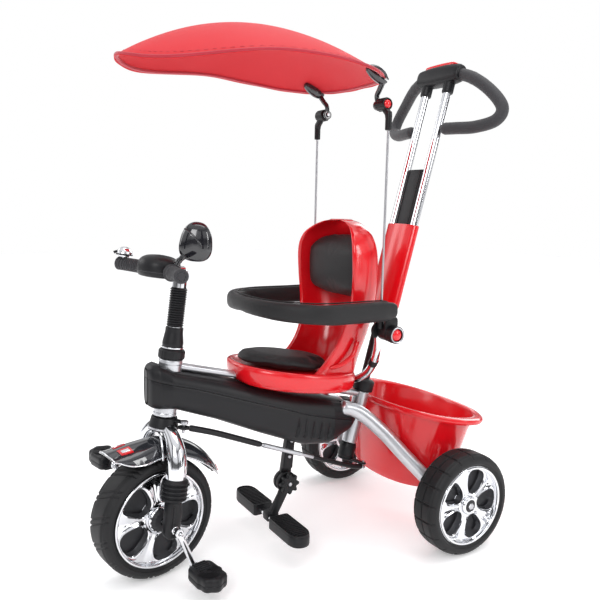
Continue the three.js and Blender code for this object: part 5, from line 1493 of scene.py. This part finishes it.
def buildFootrest():
    y, z = -316, 136
    c, n = oval(48, 3.4)
    strapTable = smooth([(262, -300, 11, 9), (225, -306, 12, 11), (170, -312, 12, 13), (z - 12, y, 12, 15)],
                        40)
    strap = skin(np.array([np.column_stack([-2 + w * c, back + d * n, np.full(48, h)])
                           for h, back, w, d in strapTable]))
    disc = turned([(4.5, -5), (22.5, -5), (24, -3.6), (24, 3.6), (22.5, 5), (4.5, 5)], 1.0, 72, "x",
                  (-8, y, z))
    cuts = [straight((-0.3, y, z), (14, y, z), 34, 48), straight((-40, y, z), (40, y, z), 4.4, 32)]
    screws = []
    for h, back in ((232, -314), (196, -319)):
        head = turned([(0.1, 3), (3, 2.8), (4.2, 1.4), (4.2, -3)], 0.6, 40, "x", (10.2, back + 8, h))
        screws.append((head, 1))
    emit("footrestBracket", [(strap, 0)], "footrest_bracket", "blackPlastic", cutters=cuts)
    emit("footrestDisc", [(disc, 0), *screws], "footrest_bracket", "blackPlastic screwSteel")
    hinge = turned([(4.5, -5), (22.5, -5), (24, -3.6), (24, 3.6), (22.5, 5), (4.5, 5)], 1.0, 72, "x",
                   (5, y, z))
    legTable = smooth([(z, y, 6, 12), (z - 30, y - 11, 9, 12), (66, -350, 11, 12), (54, -353, 11, 10),
                       (51, -353, 9, 7)], 50)
    leg = skin(np.array([np.column_stack([5 + w * 0.8 * c, back + d * n, np.full(48, h)])
                         for h, back, w, d in legTable]))
    low = block((26, 30, 22), (1, -352, 62), 4, 5)
    bars = [straight((-60, -352 + 9 * k, 62), (60, -352 + 9 * k, 62), 4.4, 28) for k in (1, -1)]
    clear = straight((-14.6, y, z), (-0.2, y, z), 25.2, 56)
    emit("footrestLeg", [leg], "footrest_leg", "blackPlastic", "footrest",
         cutters=[clear, straight((-40, y, z), (40, y, z), 4.4, 32)])
    emit("footrestBlock", [hinge, low], "footrest_leg", "blackPlastic", "footrest", cutters=bars)
    star = [(0.1, 13.5), (20, 13.5), (21, 15), (21, 24), (19.6, 26), (9, 26.5), (8, 25), (0.1, 25)]
    knob = openLathe(rounded(star, 0.9), 192, "x", (0, y, z), wave=lambda a: 1 + 0.16 * np.cos(8 * a))
    dot = turned([(0.1, 26.4), (3, 26.3), (4.4, 25.6), (4.4, 23)], 0.5, 40, "x", (0, y, z))
    emit("footrestKnob", [(knob, 0), (straight((-14, y, z), (16, y, z), 4, 32, bevel=0.6), 1), (dot, 1)],
         "footrest_knob", "blackPlastic screwSteel", "footrest_knob", sharp=45)
    rods = [straight((-127, -352 + 9 * k, 62), (127, -352 + 9 * k, 62), 4, 32, bevel=0.5) for k in (1, -1)]
    rods += [block((6, 24, 6), (s * 120, -352, 62), 1) for s in (1, -1)]
    emit("footrestBars", rods, "footrest_bars", "chrome", "footrest")
    base = [(-58, -24), (34, -24), (50, -19), (58, -7), (58, 7), (50, 19), (34, 24), (-58, 24)]
    outline = rounded(base, 7, 8, closed=True)
    for name, s in bothSides:
        levels = [(-12.6, 0.965), (-11.6, 0.99), (-9, 1.0), (7, 1.0), (9.6, 0.985), (10.8, 0.95)]
        rings = [np.column_stack([outline * k, np.full(len(outline), h)]) for h, k in levels]
        ribs = [block((3.2, 40 - 0.12 * max(0, k - 8) ** 3, 2.6), (-50 + 7.2 * k, 0, 11.6), 1)
                for k in range(14)]
        rail = [np.column_stack([outline * k, np.full(len(outline), h)])
                for h, k in ((10, 0.985), (13, 0.975), (13, 0.935), (10, 0.925))]
        shape = [skin(np.array(rings)), *ribs, skin(np.array(rail), looped=True)]
        shape = [moved(p, (s * 90, -352, 62), mirror=s < 0) for p in shape]
        emit("footrestPad" + name, shape, "footrest_pad_" + name.lower(), "blackPlastic", "footrest",
             sharp=40)
    print("footrest")


def buildStage():
    floor = bpy.data.meshes.new("floor")
    size = 9.0
    floor.from_pydata([(-size, -size, 0), (size, -size, 0), (size, size, 0), (-size, size, 0)], [],
                      [(0, 1, 2, 3)])
    obj = bpy.data.objects.new("floor", floor)
    bpy.context.scene.collection.objects.link(obj)
    obj.data.materials.append(makeMaterial("floorPale", {
        "colour": (0.94, 0.94, 0.94), "second": (0.9, 0.9, 0.9), "cloud": (0.5, 3.0), "rough": (0.95, 1.0),
                                                         "grain": (40.0, 0.01), "wear": 0.0,
        "shader": {"Emission Color": (1, 1, 1, 1), "Emission Strength": 0.25, "Specular IOR Level": 0.0}}))
    obj.location.z = -0.0005
    # Tall dark cards round the studio, seen only in reflections.
    tall = bpy.data.meshes.new("card")
    tall.from_pydata([(-0.3, 0, 0.1), (0.3, 0, 0.1), (0.3, 0, 3.0), (-0.3, 0, 3.0)], [], [(0, 1, 2, 3)])
    tall.materials.append(mat["darkRecess"])
    for k, turn in enumerate((15, 80, 125, 190, 250, 310)):
        card = bpy.data.objects.new("card" + str(k), tall)
        bpy.context.scene.collection.objects.link(card)
        card.location = (3.4 * math.sin(math.radians(turn)), -3.4 * math.cos(math.radians(turn)), 0)
        card.rotation_euler.z = math.radians(turn)
        card.visible_camera = False
        card.visible_shadow = False
        card.visible_diffuse = False
    world = bpy.data.worlds.new("studio")
    bpy.context.scene.world = world
    world.use_nodes = True
    tree = world.node_tree
    background = tree.nodes["Background"]
    place = tree.nodes.new("ShaderNodeTexCoord")
    axes = tree.nodes.new("ShaderNodeSeparateXYZ")
    ramp = tree.nodes.new("ShaderNodeValToRGB")
    tree.links.new(place.outputs["Generated"], axes.inputs[0])
    tree.links.new(axes.outputs["Z"], ramp.inputs[0])
    stops = [(0.0, 0.75), (0.03, 0.2), (0.16, 0.12), (0.22, 0.85), (0.5, 1.0), (0.62, 0.3), (0.75, 0.9),
             (1.0, 1.0)]
    while len(ramp.color_ramp.elements) < len(stops):
        ramp.color_ramp.elements.new(0.5)
    for element, (spot, value) in zip(ramp.color_ramp.elements, stops):
        element.position = spot
        element.color = (value, value, value * 1.02, 1)
    path = tree.nodes.new("ShaderNodeLightPath")
    white = tree.nodes.new("ShaderNodeMix")
    white.data_type = "RGBA"
    white.inputs[7].default_value = (1.0, 1.0, 1.0, 1)
    tree.links.new(path.outputs["Is Camera Ray"], white.inputs[0])
    tree.links.new(ramp.outputs[0], white.inputs[6])
    tree.links.new(white.outputs[2], background.inputs[0])
    background.inputs[1].default_value = 1.0
    lamps = {
        "key": {"place": (2.4, -2.6, 2.6), "size": (1.6, 1.6), "power": 50},
        "side": {"place": (2.8, 1.8, 1.4), "size": (0.5, 2.2), "power": 28},
        "fill": {"place": (-2.6, -2.2, 1.8), "size": (1.8, 1.8), "power": 24},
        "top": {"place": (0.2, 0.4, 3.4), "size": (2.4, 2.4), "power": 36},
        "back": {"place": (-1.6, 2.8, 1.8), "size": (1.6, 1.6), "power": 24},
    }
    for name, lamp in lamps.items():
        data = bpy.data.lights.new(name, "AREA")
        data.shape = "RECTANGLE"
        data.size, data.size_y = lamp["size"]
        data.energy = lamp["power"]
        light = bpy.data.objects.new(name, data)
        bpy.context.scene.collection.objects.link(light)
        light.location = lamp["place"]
        aim = Vector((0, 0, 0.45)) - Vector(lamp["place"])
        light.rotation_euler = aim.to_track_quat("-Z", "Y").to_euler()
    bpy.context.scene.view_settings.view_transform = "Standard"


buildWheels()
buildCranks()
buildFork()
buildFender()
buildStem()
buildFrame()
buildCover()
buildSeat()
buildPads()
buildGuard()
buildTub()
buildSupports()
buildCanopy()
buildHandle()
buildLinkage()
buildFootrest()
buildStage()
